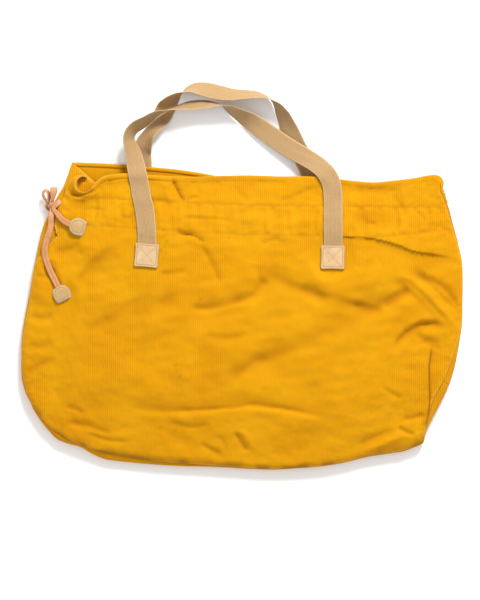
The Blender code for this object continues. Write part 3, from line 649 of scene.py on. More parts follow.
# The hem's turned edge, from its inner end to the edge: shift towards the cloth and drop, for the
# straight hem and for the wall inside the small roll
TURNED = [(9.0, -2.8), (4.0, -2.8), (1.0, -2.6), (-0.4, -2.0), (-0.7, -1.1), (-0.4, -0.35)]
ROLLED = [(-3.0, -16.0), (-2.4, -12.0), (-1.4, -8.0), (-0.8, -5.0), (-0.4, -2.4), (-0.2, -0.7)]


def build_front_canvas():
    """Front cloth: the turned hem, a heading that follows it, then the body down to the seams."""
    west = int(np.argmin(FRONT_HEM[:, 0])) / (len(FRONT_HEM) - 1)
    shares = np.concatenate([np.linspace(0, west, ROLL_COLUMNS, endpoint=False),
                             west + (1 - west) * spread(BODY_COLUMNS, 0.3)])
    hem = rows_at(FRONT_HEM, shares)
    way = unit_way(hem[:, :2])
    out = np.column_stack([way[:, 1], -way[:, 0]])
    along = distances(hem[:, :2])
    roll = 1 - ease((along - 72) / 22)
    x, y, z, width = hem.T
    base = front_height(x, y)[0]

    # heading
    far = HEM_STEPS[:, None] * width
    hx, hy = x + out[:, 0] * far, y + out[:, 1] * far
    hz, depth, groove, inside = front_height(hx, hy)
    hz = hz + (z - base) * (1 - ease(HEM_STEPS))[:, None]
    full = ease((width - 8) / 5) * (0.22 + 0.6 * (1 - ease((x + 130) / 50)))
    hz += 0.9 * full * (np.sin(np.pi * np.clip(far / 8.0, 0, 1)) - bell(far - HEM_SEAM, 1.3))
    free = (np.arange(len(x)) < ROLL_COLUMNS) * ease((HEM_STEPS[:, None] - 0.55) / 0.45)
    hz -= 3.0 * free * ease(along / 14)
    turned, rolled = np.array(TURNED)[:, :, None], np.array(ROLLED)[:, :, None]
    step = turned * (1 - roll) + rolled * roll
    tx, ty = x + out[:, 0] * step[:, 0], y + out[:, 1] * step[:, 0]
    tz = hz[0] + step[:, 1]

    # body
    top = np.column_stack([hx[-1], hy[-1]])[ROLL_COLUMNS:]
    u, v = spread(BODY_COLUMNS, 0.3), 1 - spread(164, 0.25)[1:]
    low, high = SIDE_TURN
    left = np.vstack([FRONT_EDGE[:low + 1, :2][::-1], top[0]])
    right = np.vstack([FRONT_EDGE[high:, :2], top[-1]])
    body = coons(rows_at(FRONT_EDGE[low:high + 1, :2], u), top, rows_at(left, v), rows_at(right, v), u, v)
    bx, by = body[..., 0], body[..., 1]
    bz, body_crease_shade, body_groove_shade, body_inside = front_height(bx, by)
    _, push_x, push_y, _ = fold_field(bx, by)
    free_of_edge = ease(body_inside / 10)
    bx, by = bx + push_x * free_of_edge, by + push_y * free_of_edge

    def full_rows(part):
        return np.hstack([np.zeros((len(v), ROLL_COLUMNS)), part])

    grid = np.stack([np.vstack([tx, hx, full_rows(bx)]), np.vstack([ty, hy, full_rows(by)]),
                     np.vstack([tz, hz, full_rows(bz)])], axis=-1)
    hidden = np.zeros((len(TURNED), len(x)))
    # painted shade: inside the small roll, along the folds and in the casing's grooves
    fold = np.vstack([hidden + 0.3 * roll, depth + groove, full_rows(body_crease_shade + body_groove_shade)])
    rim = bell(far, 1.2) * (0.35 + 0.3 * roll)
    seam_wear = 0.45 * bell(np.clip(body_inside - 1.0, 0, None), 1.6)
    wear = np.vstack([hidden, rim, full_rows(seam_wear * ease((bx + 345) / 20 + 1))])
    dirt = 0.6 * bell(body_inside, 7) * ease((-185 - by) / 40)
    dirt = spot_field(bx, by) + dirt * np.clip(0.45 + rumple(bx, by, 30, 31), 0, 1)
    stain = np.vstack([hidden, hidden[:1].repeat(len(HEM_STEPS), axis=0), full_rows(dirt)])
    keep = np.ones((len(grid) - 1, grid.shape[1] - 1), dtype=bool)
    keep[len(TURNED) + len(HEM_STEPS) - 1:, :ROLL_COLUMNS] = False
    cloth = add_surface("front_canvas", grid, CANVAS, thick=1.1, keep=keep, flip=True,
                        fold=fold, wear=wear, stain=stain)
    place_piece(cloth, ["front_panel"])
    return cloth


# Back hem from the mouth's left corner to the right end
BACK_HEM = smooth_path([
    (-268, 180), (-255, 180), (-217, 178.5), (-179, 176), (-141, 172.5), (-103, 169), (-65, 163.5),
    (-37, 158),
    (-10, 154), (60, 151), (140, 149), (200, 145), (260, 147), (296, 150), (310, 143),
], 400)


def back_height(y):
    """Upper face of the back cloth: lifted where the webbing and patches lie under it."""
    return np.interp(y, (-15, 8, 62, 84), (1.6, 5.8, 5.8, 4.0))


def inset(path, distance):
    """A path moved towards its left by a distance."""
    way = unit_way(path[:, :2])
    return path[:, :2] + np.column_stack([-way[:, 1], way[:, 0]]) * np.asarray(distance)[..., None]


def build_back_canvas():
    """Back cloth, lying flat, with its hem turned to the inside."""
    ends = 10 * ease(np.linspace(0, 1, len(OUTLINE)) / 0.08)
    edge = inset(OUTLINE, ends)
    low, high = closest(OUTLINE, (-338, -190)), closest(OUTLINE, (288, -262))
    u = spread(150, 0.3)
    hem = rows_at(BACK_HEM, u)
    v = 1 - spread(112, 0.2)
    steps = np.array([0, .7, 1.6, 3, 4.5, 6, 6.8, 7.4, 8.2, 9.6, 12])       # down the heading
    way = unit_way(hem)
    out = np.column_stack([way[:, 1], -way[:, 0]])
    top = hem + out * steps[-1]
    top[0], top[-1] = (-272, 168), (306, 136)
    heading = hem[None] + (top - hem)[None] * (steps / steps[-1])[:, None, None]

    def up_to(side, corner):
        return np.vstack([side[side[:, 1] < corner[1] - 2], corner])

    left, right = up_to(edge[:low + 1][::-1], top[0]), up_to(edge[high:], top[-1])
    body = coons(rows_at(edge[low:high + 1], u), top, rows_at(left, v), rows_at(right, v), u, v)
    flat = np.vstack([heading, body[1:]])
    x, y = flat[..., 0], flat[..., 1]
    z = back_height(y) + 0.35 * rumple(x, y, 60, 31) + 0.15 * rumple(x * 2, y, 30, 32)
    far = np.concatenate([steps, np.full(len(body) - 1, 30.0)])[:, None]
    z += 1.1 * np.sin(np.pi * np.clip(far / 7.0, 0, 1)) ** 0.7 - 0.7 * bell(far - 7.3, 0.9)
    z -= bell(far, 0.5)
    z += 1.2 * ease((y - 120) / 50)
    # painted shade in the groove along the hem's stitch line
    fold = 0.5 * bell(far - 7.3, 1.1) + 0 * x
    wear = 0.25 * bell(far, 1.0) + 0 * x
    cloth = add_surface("back_canvas", np.stack([x, y, z], axis=-1), CANVAS, thick=1.1, flip=True,
                        fold=fold, wear=wear)
    place_piece(cloth, ["back_panel"])


OUTLINE_Z = 10.5        # height at which the gussets reach the sack's outline

# The gusset's upper edge at the mouth: along its own hem, then under the roll to the front seam
FLAP_UPPER = [(-268, 180, 7), (-258.5, 171.8, 9.6), (-249, 163.6, 12), (-240, 155.8, 14.2),
              (-233, 149.5, 15.4),
              (-231, 142, 15.5), (-241, 134, 16), (-261, 128, 16.5), (-279, 122, 17.5), (-288, 110, 18.6)]
# and the flap's outer edge, row for row
FLAP_OUTER = [(-268, 180, 5), (-271, 171.5, 6), (-273.5, 163, 7), (-276, 156, 8), (-278, 150, 9),
              (-280.5, 144, 9.6), (-284, 137, 10.2), (-289, 129, 10.6), (-294.5, 119, 11), (-301, 103, 11)]


def gusset_grid(upper, outer, seed):
    """From the front seam out to the sack's outline and back under: two quarter ellipses."""
    inner = inset(outer, 9.0)
    turn = np.linspace(0.0, math.pi / 2, 9)
    a, b = turn[None, :], turn[None, 1:]
    fx, fy, fz = (column[:, None] for column in upper.T)
    ox, oy = (column[:, None] for column in outer[:, :2].T)
    oz = outer[:, 2:3]
    bx, by = (column[:, None] for column in inner.T)
    bz = back_height(by) - 0.2
    x = np.hstack([fx + (ox - fx) * np.sin(a), bx + (ox - bx) * np.cos(b)])
    y = np.hstack([fy + (oy - fy) * np.sin(a), by + (oy - by) * np.cos(b)])
    z = np.hstack([oz + (fz - oz) * np.cos(a), oz - (oz - bz) * np.sin(b)])
    share = np.linspace(0, math.pi, x.shape[1])[None]
    soft = rumple(x, y, 34, seed) * 0.5 + rumple(x * 2, y * 2, 40, seed + 1) * 0.25
    z += soft * np.sin(share)
    return np.stack([x, y, z], axis=-1)


def build_gusset_canvas():
    """Left, base and right gusset strips. At the mouth the left one opens into a hemmed flap."""
    def seam_rows(first, last, count):
        rows = rows_at(FRONT_EDGE[first:last + 1], np.linspace(0, 1, count))
        moved = inset(rows, 0.9)
        return np.column_stack([moved, rows[:, 2] - 1.4])

    def outer_rows(first, last, count):
        rows = rows_at(OUTLINE[first:last + 1], np.linspace(0, 1, count))
        return np.column_stack([rows, np.full(count, OUTLINE_Z)])

    joints = [((-288, 110), (-301, 103)), ((-339, -186), (-340, -188)), ((318, -166), (328, -172))]
    seam_at = [closest(FRONT_EDGE, pair[0]) for pair in joints] + [len(FRONT_EDGE) - 1]
    outer_at = [closest(OUTLINE, pair[1]) for pair in joints] + [len(OUTLINE) - 1]
    names = ("left", "base", "right")
    for k, (name, count) in enumerate(zip(names, (150, 300, 150))):
        upper = seam_rows(seam_at[k], seam_at[k + 1], count)
        outer = outer_rows(outer_at[k], outer_at[k + 1], count)
        wear = np.zeros(count)
        if name == "left":
            upper = np.vstack([curve_rows(FLAP_UPPER, 8)[:-1], upper])
            outer = np.vstack([curve_rows(FLAP_OUTER, 8)[:-1], outer])
            hemmed = 36
            wear = np.concatenate([np.full(hemmed, 0.6), np.zeros(len(upper) - hemmed)])
        grid = gusset_grid(upper, outer, 41 + 3 * k)
        column = np.arange(grid.shape[1])[None]
        worn = wear[:, None] * bell(column, 0.8) + 0.25 * bell(column - 8, 1.5)
        cloth = add_surface(f"{name}_gusset_canvas", grid, CANVAS, thick=0.9, wear=worn)
        place_piece(cloth, [f"{name}_gusset"])


def band_gap(y):
    """Gap between a panel and its casing band: snug at both stitch lines, 4 mm between them."""
    return np.interp(y, (66, 70, 76, 108, 114, 150), (0.6, 0.6, 4.0, 4.0, 0.6, 0.6))


def build_casing_canvas():
    """The two bands inside the mouth that hold the drawcord against the panels."""
    left, right = (corner[0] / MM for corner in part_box("front_casing_band"))
    y = np.linspace(66, 148, 34)[:, None]
    share = np.linspace(0, 1, 120)[None]
    x = left + share * (right - left) + np.clip(y - 110, 0, None) * 0.6 * (1 - share)
    y = y + 0 * x
    under_front = front_height(x, y)[0] - 1.5 - band_gap(y)
    over_back = back_height(y) + 1.2 * ease((y - 120) / 50) + 1.5 + band_gap(y) + 0.2 * rumple(x, y, 40, 61)
    for name, z in (("front", under_front), ("back", over_back)):
        band = add_surface(f"{name}_casing_canvas", np.stack([x, y, z], axis=-1), CANVAS, thick=0.8)
        place_piece(band, [f"{name}_casing_band"])


front_canvas = build_front_canvas()
build_back_canvas()
build_gusset_canvas()
build_casing_canvas()


# ---- webbing, patches and thread ----

# Handle routes from the left patch to the right one: x, y, z of the webbing's middle, and its
# roll in degrees about the way it runs. A positive roll lifts the left edge.
FRONT_HANDLE = [
    (-146, 22, 31.1, 0), (-147, 40, 31.1, 0), (-149, 58, 31.1, 0), (-149, 70, 31.4, 0),
    (-152, 100, 28.8, 0), (-157, 124, 26.0, 0), (-160, 140, 24.6, 0), (-163, 156, 23.8, 2),
    (-167, 176, 19.0, 16), (-172, 198, 16.4, 36),
    (-178, 214, 18.0, 53), (-176, 225, 18.5, 56), (-170, 233, 18.6, 56), (-161, 239, 19.0, 57),
    (-151, 245, 20.0, 63), (-136, 255, 21.3, 76), (-122, 260, 21.6, 90), (-101, 265, 20.6, 106),
    (-82, 269, 16.6, 122), (-65, 271, 14.9, 123), (-46, 271, 15.6, 112), (-31, 269, 16.2, 93),
    (-18, 263, 15.0, 68), (-2, 254, 13.2, 50), (12, 246, 10.0, 30), (30, 234, 8.0, 8), (61, 212, 9.0, 0),
    (85, 197, 11.0, -4), (102, 187, 14.0, -10), (116, 178, 18.0, -16), (126, 170, 21.4, -16),
    (134, 161, 23.8, -10), (140, 150, 24.8, -4), (143, 138, 25.4, 0), (144, 120, 26.8, 0),
    (144, 98, 29.4, 0), (144, 75, 31.4, 0), (144, 58, 31.1, 0), (144, 36, 31.1, 0), (144, 16, 31.1, 0),
]
BACK_HANDLE = [
    (-157, 16, 3.1, 0), (-157, 36, 3.1, 0), (-157, 58, 3.1, 0), (-157, 68, 2.2, 0), (-157, 82, 1.0, 0),
    (-157, 130, 1.0, 0), (-157, 176, 1.0, 0), (-157.5, 195, 1.8, -5), (-154, 209, 6.6, -24),
    (-146, 225, 11.4, -45),
    (-135, 239, 8.6, -33), (-126, 253, 2.4, -6), (-120, 265, 2.8, 8), (-111.5, 276.5, 10.4, 46),
    (-102, 284.5, 14.8, 72), (-92, 290.5, 15.4, 97), (-82, 295, 14.4, 116), (-65, 296, 10.8, 140),
    (-48, 293, 9.4, 147), (-35, 290, 9.6, 146), (-16, 287, 12.0, 134), (-2, 287, 13.2, 126),
    (12, 287, 13.9, 121), (25, 286, 14.6, 115), (37, 283, 15.8, 104), (48, 277, 16.0, 90),
    (58, 267, 14.9, 67), (65, 255, 12.3, 49), (70, 245, 10.8, 40), (77, 229, 7.4, 24), (86, 208, 3.4, 9),
    (93, 195, 1.6, 2), (100, 182, 1.0, 0), (110, 158, 1.0, 0), (118, 120, 1.0, 0), (123, 82, 1.0, 0),
    (124, 68, 2.2, 0), (124, 58, 3.1, 0), (124, 36, 3.1, 0), (124, 16, 3.1, 0),
]


WEBBING_WIDTH = 30.0
HANDLE_ROWS = 420


def strip_section(half_width, half_thick, columns, groove=0.0):
    """Closed section of a flat strip: upper face from left to right, then the lower face back. Each
    half thickness falls to the edge as (1 - a^8)^0.5, and a groove may sink along the middle."""
    a = np.cos(np.linspace(0, math.pi, columns))
    a = 0.5 * a + 0.5 * np.linspace(1, -1, columns)
    half = half_thick * np.sqrt(np.clip(1 - a ** 8, 0.02, 1))
    top = half - groove * bell(a, 0.16)
    return (np.concatenate([a, a[-2:0:-1]]) * half_width, np.concatenate([top, -half[-2:0:-1]]))


def strip_grid(route, section, up=None, width_share=None, closed=False):
    """The section carried along a route of rows x, y, z, roll. The left edge lies level before the
    roll, or along the given up direction's cross with the way."""
    place = route[:, :3]
    if closed:
        way = np.roll(place, -1, axis=0) - np.roll(place, 1, axis=0)
    else:
        way = np.gradient(place, axis=0)
    way = way / np.linalg.norm(way, axis=1)[:, None]
    left = np.cross((0.0, 0.0, 1.0) if up is None else up, way)
    left /= np.linalg.norm(left, axis=1)[:, None]
    face = np.cross(way, left)
    roll = np.radians(route[:, 3])[:, None]
    edge = np.cos(roll) * left + np.sin(roll) * face
    normal = np.cos(roll) * face - np.sin(roll) * left
    across, rise = section
    share = np.ones(len(route)) if width_share is None else width_share
    return (place[:, None] + edge[:, None] * across[None, :, None] * share[:, None, None]
            + normal[:, None] * rise[None, :, None])


def strip_marks(route, across):
    """For the material: place across and along the strip in metres, and 1 along both edges."""
    wide = np.broadcast_to(across[None], (len(route), len(across)))
    long = np.broadcast_to(distances(route)[:, None], wide.shape)
    marks = np.stack([wide, long, 0 * wide], axis=-1) * MM
    return marks, np.clip((np.abs(wide) / np.abs(across).max() - 0.86) / 0.1, 0, 1)


def above_front(route, clearance, width):
    """Lifts a route that lies on the front cloth clear of it, smoothed along the way."""
    way = unit_way(route[:, :2])
    left = np.column_stack([-way[:, 1], way[:, 0]])
    needed = np.full(len(route), -100.0)
    for side in (-0.5, -0.25, 0.0, 0.25, 0.5):
        x, y = (route[:, :2] + left * side * width).T
        z, _, _, _ = front_height(x, y)
        hem_gap, _, (hem_z, _) = nearest(x, y, FRONT_HEM[::6])
        outside = (hem_gap > 0) & (y > 120)
        z = np.where(outside, -100.0, np.maximum(z, hem_z - 0.4 * np.abs(hem_gap)))
        needed = np.maximum(needed, z)
    lift = np.clip(needed + clearance - route[:, 2], 0, 12)
    window = np.hanning(15) / np.hanning(15).sum()
    widest = np.maximum.reduce([np.roll(lift, k) for k in range(-3, 4)])
    lifted = route.copy()
    lifted[:, 2] += np.convolve(np.pad(widest, 7, "edge"), window, "valid")
    return lifted


def build_handle_webbing():
    """Each handle is one length of webbing from under its left patch to under its right one."""
    across, rise = strip_section(WEBBING_WIDTH / 2, 0.8, 17)
    for name, table, side in (("front", FRONT_HANDLE, 1), ("back", BACK_HANDLE, -1)):
        route = smooth_path(table, HANDLE_ROWS)
        if side > 0:
            route = above_front(route, 1.1, 26)
        row = np.arange(HANDLE_ROWS)
        wobble = 1 + 0.012 * rumple(row * 3.0, 0.0 * row, 40, 71 + side)
        grid = strip_grid(route, (across, rise), width_share=wobble)
        soft = 0.22 * rumple(row[:, None] * 1.6, across[None] * 2, 26, 73 + side)
        grid[..., 2] += soft * (1 if side > 0 else 0.3)
        marks, edge = strip_marks(route, across)
        webbing = add_surface(f"{name}_handle_webbing", grid, WEBBING, loop=True, caps=True,
                              strip=marks, edge=edge)
        place_piece(webbing, [f"{name}_handle", f"{name}_left_webbing_end", f"{name}_right_webbing_end"],
                    f"{name}_handle", hinge=[(0, HINGE_Y - 4, 0), (0, HINGE_Y + 6, 0)])


def rounded_square(half, corner, bow, turn):
    """Closed outline of a square with round corners and slightly bowed sides."""
    def heading(angle):
        return np.array([math.cos(angle), math.sin(angle)])

    reach = (half - corner) * math.sqrt(2)
    quarter = np.linspace(0, math.pi / 2, 16)
    along = np.linspace(0, 1, 14)[1:-1, None]
    parts = []
    for start in np.arange(4) * math.pi / 2:
        arc = (reach * heading(start + math.pi / 4)
               + corner * np.column_stack([np.cos(start + quarter), np.sin(start + quarter)]))
        following = start + math.pi / 2
        last = reach * heading(following + math.pi / 4) + corner * heading(following)
        sag = -bow * np.sin(np.pi * along) * heading(following)
        parts += [arc, arc[-1] + (last - arc[-1]) * along + sag]
    return np.vstack(parts) @ plan_turn(turn)


def leather_grid(outline, centre, low, thick, dome, groove_in, groove_deep, facing=1):
    """A closed pad: rings that shrink from the outline to its middle, above and below. The edge is a
    half round, the face rises by dome, and a stitched groove runs groove_in inside the edge."""
    reach = np.hypot(*outline.T).mean()
    inwards = np.concatenate([np.linspace(0, 0.16, 12), np.linspace(0.2, 0.999, 16)])
    gap = inwards * reach
    rounding = np.sqrt(np.clip(1 - (1 - np.clip(gap / (0.5 * thick), 0, 1)) ** 2, 0, 1))
    face = (0.5 * thick * rounding + dome * ease(gap / (0.8 * reach))
            - groove_deep * bell(gap - groove_in, 0.55))
    under = -0.5 * thick * rounding
    share = np.concatenate([1 - inwards[::-1], 1 - inwards[1:]])
    rise = np.concatenate([facing * face[::-1], facing * under[1:]])
    flat = share[:, None, None] * outline[None] + np.array(centre)
    z = np.broadcast_to((low + 0.5 * thick + rise)[:, None], flat.shape[:2])
    rim = np.clip(1 - np.abs(np.concatenate([gap[::-1], gap[1:]])) / (0.72 * groove_in), 0, 1)
    return np.dstack([flat, z]), np.broadcast_to(rim[:, None], z.shape)


UP = np.array([0.0, 0.0, 1.0])


def stitch_run(name, places, ways, ups, finish, length, radius):
    """A row of stitches in one mesh: each is a small rod with pointed ends that bows up in its
    middle, set along a way and lifted along an up direction."""
    t = np.linspace(-1, 1, 6)
    turn = np.linspace(0, 2 * math.pi, 5, endpoint=False)
    fat = radius * np.sqrt(np.clip(1 - t ** 4, 0.03, 1))
    along = np.broadcast_to(0.5 * length * t[:, None], (6, 5))
    side = fat[:, None] * np.cos(turn)[None]
    rise = fat[:, None] * np.sin(turn)[None] * 0.8 + (0.35 * radius * (1 - t ** 2))[:, None]
    ways = ways / np.linalg.norm(ways, axis=1)[:, None]
    across = np.cross(ups, ways)
    across /= np.linalg.norm(across, axis=1)[:, None]
    lift = np.cross(ways, across)
    points = places[:, None, None] + sum(
        direction[:, None, None] * amount[None, :, :, None]
        for direction, amount in ((ways, along), (across, side), (lift, rise)))
    count = len(places)
    ring = np.arange(5)
    cell = np.stack([ring, np.roll(ring, -1)], axis=1)
    quads = np.concatenate([np.column_stack([cell + 5 * k, cell[:, ::-1] + 5 * (k + 1)]) for k in range(5)])
    offsets = 30 * np.arange(count)[:, None, None]
    faces = (quads[None] + offsets).reshape(-1, 4)[:, ::-1].tolist()
    ends = np.array([ring, ring[::-1] + 25])
    faces += (ends[None] + offsets).reshape(-1, 5).tolist()
    mesh = bpy.data.meshes.new(name)
    mesh.from_pydata((points.reshape(-1, 3) * MM).tolist(), [], faces)
    mesh.shade_smooth()
    mesh.materials.append(finish)
    made = bpy.data.objects.new(name, mesh)
    bpy.context.scene.collection.objects.link(made)
    return made


def stitches_along(path, pitch):
    """Places and ways of stitches at a pitch along a path."""
    rows = smooth_path(path, max(3, int(round(distances(path)[-1] / pitch)) + 1))
    return 0.5 * (rows[1:] + rows[:-1]), np.diff(rows, axis=0)


# Patches: node, middle x and y, height of the lower face, turn in degrees, facing
PATCHES = [("front_left", -149.2, 32.6, 32.3, -4.5, 1), ("front_right", 143.5, 29.6, 32.3, -0.8, 1),
           ("back_left", -157, 29.8, 0.55, 0, -1), ("back_right", 124, 29.8, 0.55, 0, -1)]


def build_patches():
    """Leather patches over the webbing's ends, boxed and crossed with thread, and their backings."""
    for name, x, y, low, turn, facing in PATCHES:
        outline = rounded_square(18.8, 2.6, 0.5, turn)
        grid, rim = leather_grid(outline, (x, y), low, 1.4, 0.0, 3.6, 0.4, facing)
        patch = add_surface(f"{name}_leather_patch", grid, PATCH_LEATHER, loop=True, flip=facing > 0,
                            edge=rim)
        place_piece(patch, [f"{name}_patch"])
        square = 15.2 * np.array([(1, 1), (-1, 1), (-1, -1), (1, -1), (1, 1)]) @ plan_turn(turn) + (x, y)
        square = np.column_stack([square, np.full(5, low + 0.7 + facing * 0.72)])
        lines = [square[k:k + 2] for k in range(4)] + [square[[0, 2]], square[[1, 3]]]
        runs = [stitches_along(line, 2.3) for line in lines]
        places, ways = (np.vstack([run[i] for run in runs]) for i in range(2))
        thread = stitch_run(f"{name}_patch_thread", places, ways, facing * UP, CREAM_THREAD, 1.9, 0.34)
        place_piece(thread, [f"{name}_stitching"])
        backing_low, backing_high = (corner[2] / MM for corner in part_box(f"{name}_backing"))
        square_grid, _ = leather_grid(rounded_square(22.5, 1.5, 0.2, 0), (x, 29.8), backing_low,
                                      backing_high - backing_low, 0.0, 3.0, 0.15)
        backing = add_surface(f"{name}_canvas_backing", square_grid, CANVAS, loop=True, flip=True)
        place_piece(backing, [f"{name}_backing"])


# ---- drawcord, bow and tabs ----

# The two ends of the lace, each from its eyelet through the knot to its tab: x, y, z, roll, width
LONG_LACE = [
    (-293.8, 101, 5.6, 0, 5), (-298, 103, 3.6, 0, 7), (-303.5, 106.5, 3.8, 0, 8.5),
    (-306.4, 110, 7.8, 0, 8.5), (-305, 112.3, 12.6, 0, 8), (-301.5, 110.8, 17, 0, 7),
    (-299.4, 107, 19.7, 0, 6.6), (-299.3, 100.5, 21.5, 0, 7.4), (-300, 93, 23.4, 0, 8.6),
    (-301, 76, 24.0, 0, 9.5), (-307, 56, 23.8, 0, 9.5), (-310, 41, 23.9, 0, 9.5),
    (-308, 27, 24.6, 0, 9.5), (-302, 10, 26.2, 0, 9.5), (-293, -8, 28.4, 0, 9.5),
    (-288.5, -17, 28.9, 0, 9.5), (-284, -26, 28.9, 0, 9.5),
]
SHORT_LACE = [
    (-285.4, 118.6, 19.6, 0, 6.5), (-289, 115.6, 21.8, 8, 9), (-293.2, 111.8, 22.7, 10, 9.4),
    (-296, 107.6, 22.8, 0, 7), (-294.6, 103.2, 23.6, 0, 6.6), (-289.8, 97.6, 25.4, 0, 8),
    (-283, 89.5, 27.2, 0, 9.2), (-275, 84, 28.7, 0, 9.5), (-269.5, 81.4, 29.2, 0, 9.5),
    (-260, 78, 29.2, 0, 9.5),
]
LACE_WIDTH = 9.5
LACE_THICK = 2.2
# Each tab: its body, middle x and y, height of the lower leaf, and heading in degrees
TABS = [("long_tail", -283.5, -28.0, 26.3, -63), ("short_tail", -258.0, 77.5, 26.6, -20)]
LEAF = 1.2                      # thickness of one leaf of a tab
FRONT_LEAF = 12.4               # radius of the upper leaf, a little smaller than the lower one
KNOT = (-299.6, 112.0, 18.6)    # middle of the bow's knot


def tab_outline(radius, turn):
    """A D: round towards the lace, its sides closing in to a nearly straight end."""
    bend = np.radians(np.linspace(82, 278, 9))
    curve = np.column_stack([radius * np.cos(bend), radius * np.sin(bend)])
    end = radius * np.array([(0.55, -0.93), (0.84, -0.80), (0.88, -0.4), (0.89, 0.0), (0.88, 0.4),
                             (0.84, 0.80), (0.55, 0.93)])
    return smooth_path(np.vstack([curve, end]), 72, closed=True) @ plan_turn(turn)


def build_tabs():
    """Two leather leaves on each end of the lace, stitched together round the rim."""
    leaves = {}
    for tail, x, y, low, turn in TABS:
        upper = low + LEAF + LACE_THICK + 0.66
        leaves[tail] = []
        for leaf, base, radius, dome in (("back", low, 13.8, 0.0), ("front", upper, FRONT_LEAF, 0.7)):
            grid, rim = leather_grid(tab_outline(radius, turn), (x, y), base, LEAF, dome, 2.6, 0.5)
            made = add_surface(f"{tail}_{leaf}_leaf", grid, TAB_LEATHER, loop=True, flip=True, edge=rim)
            place_piece(made, [f"{tail}_tab_{leaf}"], tail)
            leaves[tail].append(made)
        if tail == "long_tail":
            centre = smooth_path([row[:3] for row in LONG_LACE if row[1] < 60], 60)
            places, ways = stitches_along(centre + (0, 0, LACE_THICK / 2 - 0.1), 2.4)
            seam = stitch_run("long_lace_thread", places, ways, UP, TAN_THREAD, 1.9, 0.3)
            place_piece(seam, [], tail)
        inner = tab_outline(FRONT_LEAF - 2.5, turn) + (x, y)
        ring = np.vstack([inner, inner[:1]])
        ring = np.column_stack([ring, np.full(len(ring), upper + LEAF + 0.12)])
        places, ways = stitches_along(ring, 2.1)
        thread = stitch_run(f"{tail}_tab_thread", places, ways, UP, CREAM_THREAD, 1.6, 0.26)
        place_piece(thread, [], tail)
        leaves[tail].append(thread)
    return leaves


def build_laces(leaves):
    """The lace's two free ends, from the eyelets through the knot to the tabs."""
    across, rise = strip_section(LACE_WIDTH / 2, LACE_THICK / 2, 13, groove=0.28)
    ends = (("long_tail", "back_lead", LONG_LACE, 190, [(-299, 105, 20.2), (-301, 90, 23.6)]),
            ("short_tail", "front_lead", SHORT_LACE, 90, [(-294, 106, 22.6), (-287, 95, 26)]))
    for tail, lead, table, rows, hinge in ends:
        route = smooth_path(table, rows)
        grid = strip_grid(route[:, :4], (across, rise), width_share=route[:, 4] / LACE_WIDTH)
        marks, edge = strip_marks(route, across)
        lace = add_surface(f"{tail}_lace_strip", grid, LACE_LEATHER, loop=True, caps=True,
                           strip=marks, edge=edge)
        place_piece(lace, [f"{tail}_lace", lead], tail, hinge=hinge)


# The bow's loops: the one at the left in plan, the other as y and height
SIDE_LOOP = [(-304.6, 119.6), (-303.8, 127), (-306.4, 134), (-311.4, 134.6), (-313.2, 128),
             (-309.6, 121), (-305.6, 115.5)]
TOP_LOOP = [(118.2, 21.6), (129, 23.4), (137.6, 22.0), (139.4, 18.8), (136, 15.6), (127, 14.6),
            (117.6, 17.0)]


def build_bow():
    """The bow: one loop on edge at the left, one that lies over, and the lumpy knot between."""
    across, rise = strip_section(LACE_WIDTH / 2, 0.9, 11, groove=0.1)
    side = smooth_path(SIDE_LOOP, 84, closed=True)
    away = np.clip((side[:, 1] - 116) / 14, 0, 1)
    side = np.column_stack([side, 16.0 + 1.5 * (1 - away), 50 + 12 * away])
    over = smooth_path(TOP_LOOP, 84, closed=True)
    past = np.clip((over[:, 0] - 117) / 20, 0, 1)
    over = np.column_stack([-298.6 + 2.6 * past, over, np.full(len(over), 90.0)])
    for name, route, up, share in (("side_bow_loop", side, None, 0.62 + 0.38 * ease(away)),
                                   ("top_bow_loop", over, (1.0, 0.0, 0.0), 0.55 + 0.62 * ease(past))):
        grid = strip_grid(route, (across, rise), up=up, width_share=share, closed=True)
        marks, edge = strip_marks(np.vstack([route, route[:1]]), across)
        loop = add_surface(f"{name}_strip", np.concatenate([grid, grid[:1]]), LACE_LEATHER, loop=True,
                           strip=marks, edge=edge)
        place_piece(loop, [name])

    tilt = np.linspace(0.0, math.pi, 40)[:, None]
    turn = np.linspace(0, 2 * math.pi, 60, endpoint=False)[None]
    ball = np.stack([np.sin(tilt) * np.cos(turn), np.sin(tilt) * np.sin(turn), np.cos(tilt) + 0 * turn],
                    axis=-1)
    swell = np.ones(ball.shape[:2])
    for degrees, shift in ((38, 0.30), (38, -0.38), (-52, 0.42), (-40, -0.5)):
        angle = math.radians(degrees)
        plane = ball @ np.array([math.cos(angle), math.sin(angle), 0.25]) - shift
        swell -= 0.15 * bell(plane, 0.11)
    grid = ball * swell[..., None] * (4.9, 6.2, 4.0) + KNOT
    knot = add_surface("bow_knot_lump", grid, LACE_LEATHER, loop=True, flip=True,
                       edge=1.7 * (1 - swell) / 0.3)
    place_piece(knot, ["bow_knot"])


